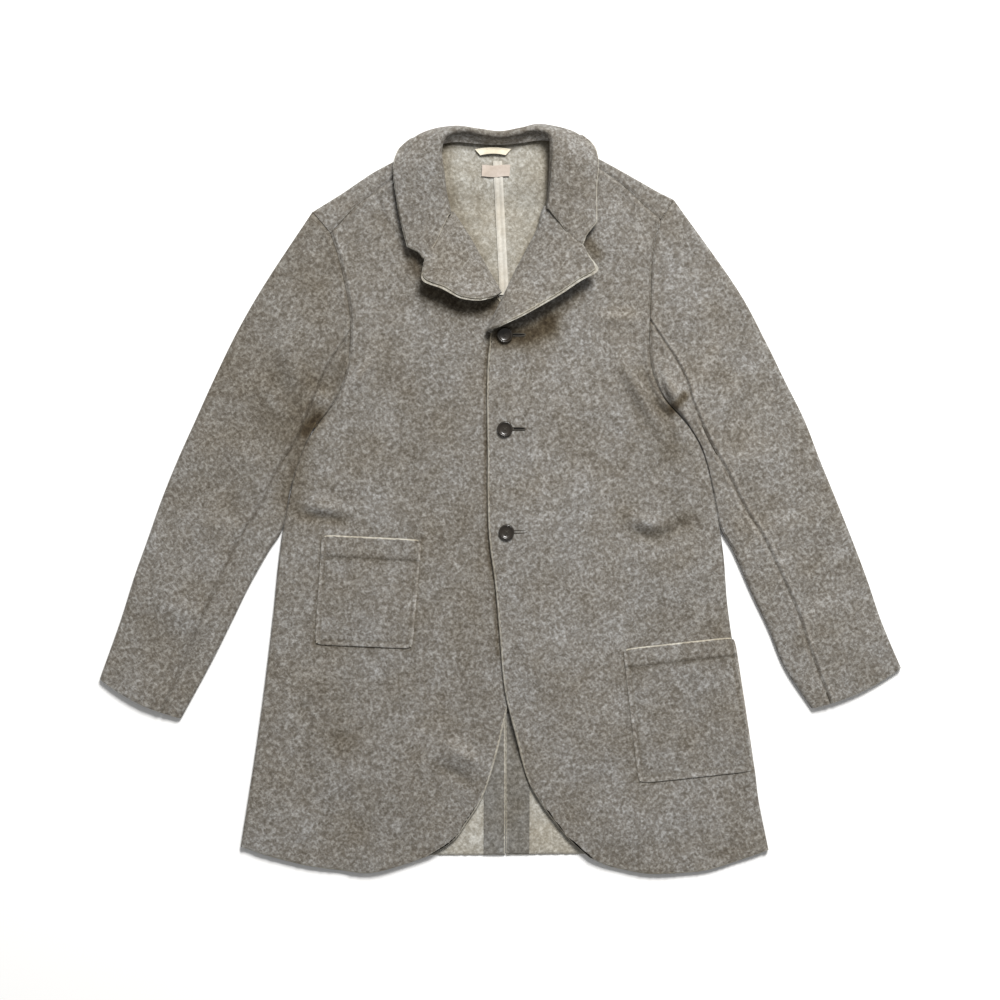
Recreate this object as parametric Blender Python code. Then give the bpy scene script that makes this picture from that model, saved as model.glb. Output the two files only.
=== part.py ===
"""Men's boiled wool jacket, laid flat on its back with the front up.

Plan positions are millimetres: x to the right of the view, y from the hem towards the collar, z up from
the surface the jacket lies on. Right and left are the wearer's, so the right side of the jacket has
negative x. Every panel is a wall of cloth whose outer face is worked out first, and the panels that lie
under or over it are made from the same points, moved along the normals.
"""
import math

import bpy
import numpy as np

# Driving sizes, in millimetres
CLOTH = 2.2
SEAM_GAP = 0.3
EDGE_RADIUS = 3.8
ROLL_RADIUS = 1.6
RAW_EDGE_STEP = 2.6
BUTTON_DIAMETER = 19.0
BUTTON_THICKNESS = 4.2
SLEEVE_GAP = 0.9
POCKET_GAP = 0.6
NECK_LIFT = 6.0
MILLIMETRE = 0.001
OUTLINE_MIDDLE = (0.5, 0.51, 0.0)

LAYER = CLOTH + SEAM_GAP
FACING_TOP = CLOTH + 1.5 * SEAM_GAP
FRONT_REST = 2.0 * EDGE_RADIUS
OVERLAP_LIFT = 5.9
FACING_RISE = 1.5

# Outlines of the body, one (x, y) row a point, from the hem up
SIDE_RIGHT = [(-316, -422), (-307, -366), (-299, -315), (-289, -244), (-277, -146), (-267, -52), (-256, 6),
              (-249, 37), (-240, 61), (-231, 81), (-221, 93)]
SIDE_LEFT = [(327, -426), (315, -366), (312, -339), (296, -244), (279, -146), (271, -55), (260, 6),
             (254, 37), (245, 63), (232, 87), (217, 105)]
ARMHOLE_RIGHT = [(-221, 93), (-204, 115), (-192, 140), (-184, 171), (-182, 201), (-183, 232), (-188, 260),
                 (-194, 287), (-200, 307), (-206, 325)]
ARMHOLE_LEFT = [(217, 105), (198, 126), (188, 149), (182, 177), (182, 201), (183, 232), (184, 262),
                (185, 290), (188, 314), (196, 341)]
SHOULDER_SEAM_RIGHT = [(-206, 325), (-179, 354), (-156, 372), (-133, 388), (-102, 412)]
SHOULDER_SEAM_LEFT = [(196, 341), (173, 361), (151, 382), (123, 401), (94, 415)]
SHOULDER_FOLD_RIGHT = [(-228, 351), (-207, 364), (-185, 378), (-159, 396), (-129, 412), (-98, 425)]
SHOULDER_FOLD_LEFT = [(211, 366), (187, 378), (172, 387), (138, 406), (116, 417), (94, 427)]
NECK_BACK_RIGHT = [(-98, 425), (-83, 431), (-61, 434), (-30, 431), (-0.6, 430)]
NECK_BACK_LEFT = [(94, 427), (76, 434), (55, 436), (28, 432), (-0.2, 430)]
EDGE_RIGHT = [(-84, -432), (-56, -414), (-40, -392), (-27, -371), (-16, -353), (-9, -327), (0, -300),
              (7, -257), (12, -232), (21, -201), (28, -159), (32, -110), (33, -49), (33, 61), (33, 122),
              (30, 171), (19, 215), (-3, 249)]
EDGE_LEFT = [(110, -436), (95, -424), (72, -399), (57, -379), (39, -353), (26, -316), (18, -278), (7, -238),
             (1, -189), (-1, -152), (-4, -116), (-10, -79), (-13, -49), (-15, 0), (-15, 61), (-16, 122),
             (-15, 165), (-11, 203)]
HEM_RIGHT = [(-316, -422), (-283, -433), (-235, -445), (-192, -451), (-159, -454), (-121, -445), (-84, -432)]
HEM_LEFT = [(327, -426), (293, -438), (250, -451), (201, -455), (171, -454), (135, -446), (110, -436)]
HEM_BACK_RIGHT = [(-316, -422), (-244, -431), (-88, -433), (5.0, -433)]
HEM_BACK_LEFT = [(327, -426), (244, -431), (73, -432), (8.6, -433)]
NECK_RIGHT = [(-62, 347), (-78, 359), (-90, 380), (-97, 397), (-102, 412)]
NECK_LEFT = [(59, 355), (70, 365), (79, 382), (86, 399), (94, 415)]

# Roll lines, where the lapels fold back, from the foot to the neck
ROLL_RIGHT = [(-3, 249), (-13, 266), (-27, 290), (-42, 317), (-62, 347)]
ROLL_LEFT = [(-11, 203), (9, 244), (31, 290), (49, 323), (59, 355)]

# Free edge of each lapel as it lies folded back, from the foot of the roll to the notch
LAPEL_RIGHT = [(-5, 246), (-18, 241), (-31, 240), (-49, 243), (-70, 254), (-93, 264), (-93, 278), (-90, 293)]
LAPEL_LEFT = [(-8, 205), (14, 214), (38, 226), (76, 249), (98, 264), (119, 277), (110, 292), (96, 309)]

# Stations of the lapel's free edge that meet those of the roll line
LAPEL_STATIONS = [0.0, 0.13, 0.30, 0.50, 0.70, 0.86, 1.0]
LAPEL_CELLS = 5

# At each station up the roll line: how far the lapel turns, in degrees, and how high its free edge lies
LAPEL_TURN = ([0.0, 0.17, 0.34, 1.0], [70.0, 150.0, 180.0, 180.0])
LAPEL_LIFT = ([0.0, 0.2, 0.5, 0.8, 1.0], [4.5, 9.0, 13.0, 11.0, 7.0])

# Levels of the body panels: share of the side seam and of the front edge below the roll
LEVELS = [(0.0, 0.0), (0.035, 0.045), (0.075, 0.085), (0.12, 0.13), (0.18, 0.185), (0.26, 0.26),
          (0.36, 0.35), (0.46, 0.45), (0.56, 0.54), (0.66, 0.63), (0.75, 0.71), (0.82, 0.78), (0.88, 0.84),
          (0.94, 0.90), (1.0, 0.95)]
UPPER_EDGE_SHARES = [0.975, 1.0]
ARMHOLE_CELLS = 10
ROLL_START = len(UPPER_EDGE_SHARES)
NECK_CELLS = 2

# Columns of a front as shares of its width. The facing starts at the column that FACING_START counts to,
# which with the steps of the rounded side before it is the one at 0.69, and lifts the front from 0.60 on.
FRONT_COLUMNS = [0.0, 0.12, 0.25, 0.38, 0.50, 0.60, 0.69, 0.77, 0.85, 0.93, 1.0]
FACING_START = 8
FACING_RAMP = (0.60, 0.69)
BACK_COLUMNS = [0.0, 0.14, 0.28, 0.42, 0.55, 0.67, 0.78, 0.89, 1.0]
SHOULDER_COLUMNS = 7

# Where the back's levels from the armpit up meet the centre seam
CENTRE_LEVELS = [200, 235, 265, 292, 318, 338, 352, 364, 376, 388, 404, 430]
ARC_STEPS = (0.0, 45.0, 90.0)

# Sleeves, one row a section from the armhole to the cuff: x and y of the outer and of the inner edge
SLEEVE_RIGHT = [(-228, 351, -221, 93), (-283, 268, -228, 87), (-317, 210, -235, 76), (-346, 151, -244, 59),
                (-370, 98, -255, 24), (-392, 49, -265, -18), (-411, 2, -283, -60), (-429, -49, -305, -105),
                (-445, -94, -326, -148), (-462, -148, -350, -196), (-487, -218, -388, -266)]
SLEEVE_LEFT = [(211, 366, 217, 105), (287, 259, 224, 98), (322, 195, 232, 87), (346, 146, 245, 66),
               (370, 98, 257, 34), (389, 49, 268, -15), (409, 0, 282, -62), (429, -50, 305, -112),
               (447, -98, 326, -156), (464, -148, 346, -204), (488, -205, 379, -254)]
CUFF_BULGE = 6.0
INSEAM_SHARES = [(0.0, 0.60), (0.25, 0.70), (0.55, 0.755), (1.0, 0.83)]
SLEEVE_STATIONS = [0.0, 0.5, 1.0, 1.5, 2.0, 2.5, 3.0, 3.5, 4.0, 4.5, 5.0, 6.0, 7.0, 8.0, 9.0, 10.0]
SHOULDER_STRIP_SHARE = 0.118
INSEAM_COLUMN = 7

# Collar, one row a section from the right notch round the neck to the left one: x and y of the neck seam,
# x, y and z of the roll, x and y of the fall, x, y and z of the edge, and the tuck. The fall's edge lies
# under the back where the tuck is 1.
COLLAR = [
    (-74, 354, -63, 350, 19, -90, 300, -114, 308, 15, 0.0),
    (-83, 373, -67, 372, 21, -101, 336, -120, 334, 15, 0.0),
    (-91, 393, -70, 395, 25, -107, 374, -126, 366, 16, 0.0),
    (-96, 410, -73, 416, 28, -110, 406, -130, 401, 17, 0.0),
    (-90, 421, -71, 431, 29, -103, 435, -123, 427, 11, 0.4),
    (-76, 427, -62, 441, 29, -82, 448, -102, 438, 5, 0.8),
    (-55, 429, -43, 445, 29, -53, 452, -72, 412, 2.8, 1.0),
    (-28, 427, -22, 441, 28, -26, 448, -36, 400, 2.8, 1.0),
    (0, 426, 0, 437, 28, 0, 445, 0, 396, 2.8, 1.0),
    (24, 428, 20, 441, 28, 24, 449, 33, 400, 2.8, 1.0),
    (50, 431, 38, 446, 29, 48, 454, 67, 412, 2.8, 1.0),
    (68, 430, 55, 443, 29, 78, 449, 97, 441, 5, 0.8),
    (84, 423, 62, 434, 29, 95, 438, 114, 432, 11, 0.4),
    (90, 412, 63, 418, 28, 103, 411, 120, 409, 18, 0.0),
    (83, 396, 62, 398, 25, 100, 384, 118, 380, 17, 0.0),
    (76, 378, 61, 377, 21, 100, 352, 118, 352, 15, 0.0),
    (69, 362, 60, 358, 19, 97, 315, 118, 338, 15, 0.0),
]
COLLAR_STAND_GAP = 4 * SEAM_GAP
COLLAR_ROWS = 27
COLLAR_NOTCH_STEP = 9
COLLAR_STEPS = [0.0, 0.08, 0.15, 0.20, 0.25, 0.31, 0.39, 0.48, 0.58, 0.68, 0.79, 0.90, 1.0]

# Main creases of the fronts and sleeves: x and y of one end and of the other, half width and height
FOLDS = [
    (-246, -3, -184, -10, 9, 3.2),
    (-246, -17, -180, -26, 7, -1.6),
    (-60, -300, -10, -326, 10, 2.6),
    (-79, -322, -24, -350, 8, -1.6),
    (-205, -287, -190, -300, 14, -1.2),
    (-244, -250, -235, -262, 14, -1.0),
    (150, 168, 200, 84, 10, 3.4),
    (167, 159, 212, 72, 8, -1.8),
    (212, 72, 193, 24, 9, -1.4),
    (190, 170, 226, 100, 9, 3.0),
    (156, -38, 189, -50, 7, -1.6),
    (189, -50, 234, -24, 8, -1.6),
    (160, -22, 205, -34, 9, 2.4),
    (116, 223, 172, 222, 9, 1.6),
    (-150, 180, -196, 118, 10, 2.8),
    (-168, 190, -206, 136, 8, -1.4),
    (-262, 190, -238, 112, 10, 3.2),
    (-300, 150, -252, 96, 9, 2.6),
    (-330, 60, -268, 40, 10, 2.4),
    (-390, -20, -300, -40, 11, 2.2),
    (-420, -120, -350, -150, 11, 2.0),
    (262, 196, 236, 118, 10, 3.2),
    (300, 156, 250, 96, 9, 2.6),
    (330, 64, 270, 40, 10, 2.4),
    (392, -16, 300, -44, 11, 2.2),
    (424, -118, 350, -156, 11, 2.0),
]

# Pockets: (x, y) of the corners from the lower outer one round, and where the turned band starts
POCKET_RIGHT = [(-226, -176), (-106, -181), (-95, -48), (-217, -42)]
POCKET_LEFT = [(170, -345), (298, -334), (284, -168), (150, -179)]
POCKET_RIGHT_BAND = 0.80
POCKET_LEFT_BAND = 0.86
POCKET_BAND_STEP = 0.012
POCKET_BAND_RISE = 0.9
POCKET_CELLS = 8

# Buttons: name, x and y
BUTTONS = [("button_1", 6, 200), ("button_2", 6, 86), ("button_3", 8, -39)]
BUTTON_SEGMENTS = 20

# Trim of the back
TAPE_WIDTH = 11.0
TAPE_THICKNESS = 0.9
TAPE_HEAD = 412.0
TAPE_FOOT = 250.0
LOOP_THICKNESS = 1.2
LABEL_THICKNESS = 0.6
LABEL_WIDTH = 14.0
LABEL_SPAN = (-22.0, 12.0)
LABEL_LEVEL = 400.0
LOOP_WIDTH = 6.0
LOOP_SPAN = (-30.0, 13.0)
LOOP_LEVEL = 419.5
LOOP_SAG = 0.004
VENT_WIDTH = 25.0
VENT_CELLS = 7
VENT_HEAD = -250.0
VENT_RIGHT = (-7.0, -431.0)
VENT_LEFT = (21.0, -430.0)

# Colour, roughness and metallic of each finish
FINISHES = {
    "outer_wool": ((0.150, 0.140, 0.130, 1.0), 0.95, 0.0),
    "inner_wool": ((0.360, 0.335, 0.300, 1.0), 0.95, 0.0),
    "facing_strip": ((0.060, 0.055, 0.050, 1.0), 0.85, 0.0),
    "cotton_tape": ((0.660, 0.600, 0.500, 1.0), 0.90, 0.0),
    "button_horn": ((0.030, 0.024, 0.020, 1.0), 0.35, 0.0),
}


def clear_scene():
    """Remove every object that the new file starts with."""
    for item in list(bpy.data.objects):
        bpy.data.objects.remove(item, do_unlink=True)


def smooth_step(value, low, high):
    """Return 0 below low, 1 above high and a soft S curve between them."""
    share = np.clip((np.asarray(value, dtype=float) - low) / (high - low), 0.0, 1.0)
    return share * share * (3.0 - 2.0 * share)


def dense_path(points, steps=24):
    """Return a close polyline along a Catmull-Rom curve through the points."""
    points = np.asarray(points, dtype=float)
    padded = np.vstack([2 * points[0] - points[1], points, 2 * points[-1] - points[-2]])
    share = np.linspace(0.0, 1.0, steps, endpoint=False)[:, None]
    pieces = []
    for before, start, end, after in zip(padded, padded[1:], padded[2:], padded[3:]):
        pieces.append(0.5 * (2 * start + (end - before) * share
                             + (2 * before - 5 * start + 4 * end - after) * share ** 2
                             + (3 * start - before - 3 * end + after) * share ** 3))
    pieces.append(points[-1:])
    return np.vstack(pieces)


def along(points, shares):
    """Return the places at the given shares of the length of the curve through the points."""
    path = dense_path(points)
    steps = np.linalg.norm(np.diff(path, axis=0), axis=1)
    length = np.concatenate([[0.0], np.cumsum(steps)])
    wanted = np.asarray(shares, dtype=float) * length[-1]
    return np.stack([np.interp(wanted, length, path[:, axis]) for axis in range(path.shape[1])], axis=-1)


def fold_relief(x, y):
    """Return the height that the creases add, each a soft bar that fades towards its ends."""
    total = np.zeros(np.shape(x))
    for x0, y0, x1, y1, width, height in FOLDS:
        run = np.array([x1 - x0, y1 - y0], dtype=float)
        length = np.hypot(*run)
        share = np.clip(((x - x0) * run[0] + (y - y0) * run[1]) / length ** 2, 0.0, 1.0)
        away = np.hypot(x - x0 - share * run[0], y - y0 - share * run[1])
        total += height * np.exp(-(away / width) ** 2) * (0.35 + 0.65 * np.sin(math.pi * share))
    return total


def neck_lift(x, y):
    """Return how far the tucked fall of the collar raises the back and what lies on it."""
    across = 1.0 - smooth_step(np.abs(x), 100.0, 150.0)
    return NECK_LIFT * across * smooth_step(y, 352.0, 392.0)


RIGHT_LIMIT = dense_path(EDGE_RIGHT + [(-76, 352)])


def overlap_lift(x, y):
    """Return how far the left front rises over the right one, ramping down past the right one's edge."""
    limit = np.interp(y, RIGHT_LIMIT[:, 1], RIGHT_LIMIT[:, 0])
    return OVERLAP_LIFT * (1.0 - smooth_step(x - limit, 6.0, 42.0))


def front_height(x, y, left):
    """Return the height of a front's outer face away from its rounded side."""
    height = FRONT_REST + neck_lift(x, y)
    if left:
        height = height + overlap_lift(x, y)
    return height


def edge_drop(distance):
    """Return how far the face of a flat tube falls at a distance from its folded edge."""
    inside = np.clip(EDGE_RADIUS - distance, 0.0, EDGE_RADIUS)
    return EDGE_RADIUS - np.sqrt(EDGE_RADIUS ** 2 - inside ** 2)


def patch(near, far, low, high, across, up):
    """Return the plan of a panel between four outlines: near and far run up, low and high run across."""
    across = np.asarray(across)[None, :, None]
    up = np.asarray(up)[:, None, None]
    near = near[:, None, :]
    far = far[:, None, :]
    low = low[None]
    high = high[None]
    between = near * (1 - across) + far * across
    low_bulge = low - (low[:, :1] * (1 - across) + low[:, -1:] * across)
    high_bulge = high - (high[:, :1] * (1 - across) + high[:, -1:] * across)
    return between + low_bulge * (1 - up) ** 3 + high_bulge * up ** 3


def quads_of(index):
    """Return the four corners of each cell of a grid of vertex numbers."""
    return np.stack([index[:-1, :-1], index[:-1, 1:], index[1:, 1:], index[1:, :-1]], axis=-1).reshape(-1, 4)


def turned_over(quads):
    """Return the cells facing the other way, split along the same diagonal."""
    return quads[:, [0, 3, 2, 1]]


def triangles_of(quads):
    """Return each cell as two triangles, always split from its first corner."""
    return np.vstack([quads[:, [0, 1, 2]], quads[:, [0, 2, 3]]])


def rim_of(quads, count):
    """Return the triangles of the rim along each free edge, down to the layer that starts at count."""
    edges = np.concatenate([quads[:, [side, (side + 1) % 4]] for side in range(4)])
    known = {(start, end) for start, end in edges.tolist()}
    rim = []
    for start, end in sorted(known):
        if (end, start) not in known:
            rim.append((end, start, start + count))
            rim.append((end, start + count, end + count))
    return rim


def point_normals(points, quads):
    """Return the unit normal at each point, the mean of those of the cells around it."""
    corner = points[quads]
    face = np.cross(corner[:, 2] - corner[:, 0], corner[:, 3] - corner[:, 1])
    total = np.zeros_like(points)
    for column in range(4):
        np.add.at(total, quads[:, column], face)
    size = np.linalg.norm(total, axis=1, keepdims=True)
    return total / np.where(size > 0.0, size, 1.0)


def make_material(finish):
    """Return the finish as a Principled material, made once."""
    if finish in bpy.data.materials:
        return bpy.data.materials[finish]
    colour, roughness, metallic = FINISHES[finish]
    material = bpy.data.materials.new(finish)
    material.use_nodes = True
    shader = material.node_tree.nodes["Principled BSDF"]
    shader.inputs["Base Color"].default_value = colour
    shader.inputs["Roughness"].default_value = roughness
    shader.inputs["Metallic"].default_value = metallic
    material.diffuse_color = colour
    return material


def make_object(name, vertices, faces, finish):
    """Put a closed body into the scene under its own name."""
    mesh = bpy.data.meshes.new(name)
    placed = (np.asarray(vertices) - OUTLINE_MIDDLE) * MILLIMETRE
    mesh.from_pydata(placed.tolist(), [], [list(face) for face in faces])
    mesh.materials.append(make_material(finish))
    mesh.shade_smooth()
    mesh.set_sharp_from_angle(angle=math.radians(40.0))
    item = bpy.data.objects.new(name, mesh)
    bpy.context.scene.collection.objects.link(item)
    return item


def wall(name, points, normals, quads, outer, inner, finish):
    """Make a wall between two offsets of a face: both faces, and a rim along every free edge."""
    used = np.unique(quads)
    lookup = np.full(len(points), -1)
    lookup[used] = np.arange(len(used))
    quads = lookup[quads]
    count = len(used)
    top = points[used] + normals[used] * outer
    bottom = points[used] + normals[used] * inner
    faces = triangles_of(quads).tolist() + triangles_of(turned_over(quads) + count).tolist() + rim_of(quads, count)
    return make_object(name, np.vstack([top, bottom]), faces, finish)


def level_rim(normals, rows):
    """Turn the normals of an edge row level, so that the two halves of a folded side meet on flat rims."""
    normals[rows, 2] = 0.0
    normals[rows] /= np.linalg.norm(normals[rows], axis=1, keepdims=True)


def pull_in(points, normals, rows, inner_rows, amount):
    """Move an edge row of points towards the next row, so that the layer ends short of the one under it."""
    gap = points[inner_rows] - points[rows]
    length = np.linalg.norm(gap, axis=1, keepdims=True)
    share = np.minimum(amount / np.maximum(length, 1e-6), 0.6)
    points[rows] += gap * share
    blended = normals[rows] * (1 - share) + normals[inner_rows] * share
    normals[rows] = blended / np.linalg.norm(blended, axis=1, keepdims=True)


def armhole_shares():
    """Return the stations round the armhole, from the shoulder fold down to the armpit."""
    rest = np.linspace(SHOULDER_STRIP_SHARE, 1.0, ARMHOLE_CELLS + 1)
    return np.concatenate([[0.0], rest])


def near_outline(side, armhole):
    """Return the outer outline of a body panel: the side seam, then the armhole to the shoulder seam."""
    lower = along(side, [row[0] for row in LEVELS])
    upper = along(armhole, np.linspace(0.0, 1.0, ARMHOLE_CELLS + 1))
    return np.vstack([lower, upper[1:]])


def side_columns():
    """Return the distances from the side where the folded edge is cut into steps."""
    return [EDGE_RADIUS * (1 - math.cos(math.radians(angle))) for angle in ARC_STEPS]


def body_plan(near, far, low, high, shares):
    """Return the plan of a panel with extra columns close to its side for the folded edge.

    The outline high is a curve through its points, or with as many points as the plan has columns the row
    itself.
    """
    rows = len(near)
    up = np.linspace(0.0, 1.0, rows)
    width = np.linalg.norm(far - near, axis=1)
    edge = np.array(side_columns())
    count = len(edge) + len(shares) - 1
    plan = []
    for row in range(rows):
        steps = np.concatenate([edge, edge[-1] + (width[row] - edge[-1]) * np.array(shares[1:])]) / width[row]
        top = high if len(high) == count else along(high, steps)
        plan.append(patch(near, far, along(low, steps), top, steps, up)[row])
    return np.array(plan)


def lapel_block(roll, free_edge, height, outward, turn, lift, cells):
    """Return the lapel past the roll line: an arc of the turn, then a bent flat part to the free edge."""
    block = []
    for row in range(len(roll)):
        angle = turn[row]
        centre = np.array([roll[row][0], roll[row][1], height[row] + ROLL_RADIUS])
        steps = np.linspace(0.0, angle, 5)[1:]
        arc = [centre + ROLL_RADIUS * np.array([outward[0] * math.sin(s), outward[1] * math.sin(s), -math.cos(s)])
               for s in steps]
        start = arc[-1]
        goal = np.array([free_edge[row][0], free_edge[row][1], height[row] + lift[row]])
        reach = np.linalg.norm(goal - start)
        aim = start + 0.45 * reach * np.array([outward[0] * math.cos(angle), outward[1] * math.cos(angle),
                                               math.sin(angle)])
        straight = 0.5 + 0.5 * (row / (len(roll) - 1)) ** 3
        aim = (1 - straight) * aim + straight * (0.5 * (start + goal) + np.array([0.0, 0.0, 0.25 * lift[row]]))
        for share in np.linspace(0.0, 1.0, cells + 1)[1:]:
            arc.append(start * (1 - share) ** 2 + 2 * aim * share * (1 - share) + goal * share ** 2)
        block.append(arc)
    return np.array(block)


def build_front(left):
    """Make one front, cut in one with its lapel, and its facing, which is also the lapel's top layer."""
    side = SIDE_LEFT if left else SIDE_RIGHT
    near = near_outline(side, ARMHOLE_LEFT if left else ARMHOLE_RIGHT)
    edge = EDGE_LEFT if left else EDGE_RIGHT
    neck = NECK_LEFT if left else NECK_RIGHT
    rows = len(near)
    first_roll = len(LEVELS) - 1 + ROLL_START
    last_roll = rows - 1 - NECK_CELLS
    edge_shares = [row[1] for row in LEVELS] + UPPER_EDGE_SHARES
    lower = along(edge, edge_shares)
    roll = along(ROLL_LEFT if left else ROLL_RIGHT, np.linspace(0.0, 1.0, last_roll - first_roll + 1))
    upper = along(neck, np.linspace(0.0, 1.0, NECK_CELLS + 1))
    far = np.vstack([lower, roll[1:], upper[1:]]).astype(float)
    plan = body_plan(near, far, HEM_LEFT if left else HEM_RIGHT,
                     SHOULDER_SEAM_LEFT if left else SHOULDER_SEAM_RIGHT, FRONT_COLUMNS)
    x = plan[..., 0]
    y = plan[..., 1]
    columns = x.shape[1]
    distance = np.hypot(x - x[:, :1], y - y[:, :1])
    folded = np.array([1.0] * len(LEVELS) + [0.0] * ARMHOLE_CELLS)[:, None]
    z = front_height(x, y, left)
    fade = np.clip(distance / 22.0, 0.0, 1.0) * smooth_step(np.hypot(x - far[:, :1], y - far[:, 1:]), 8.0, 40.0)
    shares = np.array([0.0] * len(ARC_STEPS) + FRONT_COLUMNS[1:])
    z = z + FACING_RISE * smooth_step(shares, *FACING_RAMP)
    z = z + fold_relief(x, y) * fade - edge_drop(distance) * folded
    z[:, 0] += SEAM_GAP / 2 * folded[:, 0]
    main = np.stack([x, y, z], axis=-1)

    along_roll = (roll[-1] - roll[0]) / np.linalg.norm(roll[-1] - roll[0])
    outward = np.array([along_roll[1], -along_roll[0]])
    if left:
        outward = -outward
    count = len(roll)
    station = np.linspace(0.0, 1.0, count)
    free_edge = along(LAPEL_LEFT if left else LAPEL_RIGHT, LAPEL_STATIONS)
    turn = np.radians(np.interp(station, *LAPEL_TURN))
    lift = np.interp(station, *LAPEL_LIFT)
    height = main[first_roll:last_roll + 1, -1, 2]
    block = lapel_block(roll, free_edge, height, outward, turn, lift, LAPEL_CELLS)

    points = main.reshape(-1, 3)
    index = np.arange(len(points)).reshape(rows, columns)
    extra = block.shape[1]
    lapel_index = len(points) + np.arange(count * extra).reshape(count, extra)
    lapel_index = np.hstack([index[first_roll:last_roll + 1, -1:], lapel_index])
    points = np.vstack([points, block.reshape(-1, 3)])
    quads = np.vstack([quads_of(index), quads_of(lapel_index)])
    if left:
        quads = turned_over(quads)
    normals = point_normals(points, quads)
    level_rim(normals, index[:len(LEVELS), 0])
    name = "left" if left else "right"
    wall("front_" + name, points, normals, quads, 0.0, -CLOTH, "outer_wool")

    facing_points = points.copy()
    facing_normals = normals.copy()
    start = FACING_START
    below = index[:first_roll, -1]
    pull_in(facing_points, facing_normals, below, index[:first_roll, -2], RAW_EDGE_STEP)
    pull_in(facing_points, facing_normals, index[0, start:], index[1, start:], RAW_EDGE_STEP)
    pull_in(facing_points, facing_normals, lapel_index[:, -1], lapel_index[:, -2], RAW_EDGE_STEP)
    facing_quads = np.vstack([quads_of(index[:, start:]), quads_of(lapel_index)])
    if left:
        facing_quads = turned_over(facing_quads)
    wall("facing_" + name, facing_points, facing_normals, facing_quads, -FACING_TOP, -FACING_TOP - CLOTH,
         "outer_wool")


def build_back(left):
    """Make one half of the back with the strip that laps forward over the shoulder to the seam."""
    side = SIDE_LEFT if left else SIDE_RIGHT
    near = near_outline(side, ARMHOLE_LEFT if left else ARMHOLE_RIGHT)
    fold = SHOULDER_FOLD_LEFT if left else SHOULDER_FOLD_RIGHT
    neck = NECK_BACK_LEFT if left else NECK_BACK_RIGHT
    near = np.vstack([near, [fold[0]]])
    rows = len(near)
    hem = HEM_BACK_LEFT if left else HEM_BACK_RIGHT
    centre_low = np.array(hem[-1], dtype=float)
    centre_high = np.array(neck[-1], dtype=float)
    armpit = len(LEVELS) - 1
    below = (near[:armpit, 1] - near[0, 1]) / (near[armpit, 1] - near[0, 1])
    centre_y = np.concatenate([centre_low[1] + (CENTRE_LEVELS[0] - centre_low[1]) * below, CENTRE_LEVELS])
    share = (centre_y - centre_low[1]) / (centre_high[1] - centre_low[1])
    far = centre_low + (centre_high - centre_low) * share[:, None]
    shoulder_shares = np.linspace(0.0, 1.0, SHOULDER_COLUMNS + 1)
    neck_cells = len(BACK_COLUMNS) + len(ARC_STEPS) - 2 - SHOULDER_COLUMNS
    top_line = np.vstack([along(fold, shoulder_shares), along(neck, np.linspace(0.0, 1.0, neck_cells + 1)[1:])])
    plan = body_plan(near, far, hem, top_line, BACK_COLUMNS)
    x = plan[..., 0]
    y = plan[..., 1]
    columns = x.shape[1]
    distance = np.hypot(x - x[:, :1], y - y[:, :1])
    folded = np.array([1.0] * len(LEVELS) + [0.0] * (ARMHOLE_CELLS + 1))[:, None]
    z = neck_lift(x, y) + edge_drop(distance) * folded
    z[:, 0] -= SEAM_GAP / 2 * folded[:, 0]
    main = np.stack([x, y, z], axis=-1)

    seam = along(SHOULDER_SEAM_LEFT if left else SHOULDER_SEAM_RIGHT, shoulder_shares)
    fold_points = main[-1, :SHOULDER_COLUMNS + 1].copy()
    inward = seam - fold_points[:, :2]
    reach = np.linalg.norm(inward, axis=1, keepdims=True)
    inward = inward / reach
    strip = []
    for angle in (-45.0, 0.0, 45.0, 90.0):
        turn = math.radians(angle)
        moved = fold_points.copy()
        moved[:, :2] -= inward * EDGE_RADIUS * (math.cos(turn) - 1.0)
        moved[:, 2] += EDGE_RADIUS * (1.0 + math.sin(turn))
        strip.append(moved)
    last = fold_points.copy()
    last[:, :2] = seam - inward * 2 * SEAM_GAP
    last[:, 2] = front_height(seam[:, 0], seam[:, 1], left)
    strip.append(last)
    main[-1, :SHOULDER_COLUMNS + 1, :2] += inward * EDGE_RADIUS
    strip = np.array(strip)

    points = main.reshape(-1, 3)
    index = np.arange(len(points)).reshape(rows, columns)
    strip_index = len(points) + np.arange(strip.shape[0] * strip.shape[1]).reshape(strip.shape[:2])
    strip_index = np.vstack([index[-1:, :SHOULDER_COLUMNS + 1], strip_index])
    points = np.vstack([points, strip.reshape(-1, 3)])
    quads = np.vstack([quads_of(index), quads_of(strip_index)])
    if not left:
        quads = turned_over(quads)
    normals = point_normals(points, quads)
    level_rim(normals, index[:len(LEVELS), 0])
    name = "left" if left else "right"
    wall("back_" + name, points, normals, quads, 0.0, -CLOTH, "inner_wool")


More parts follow.
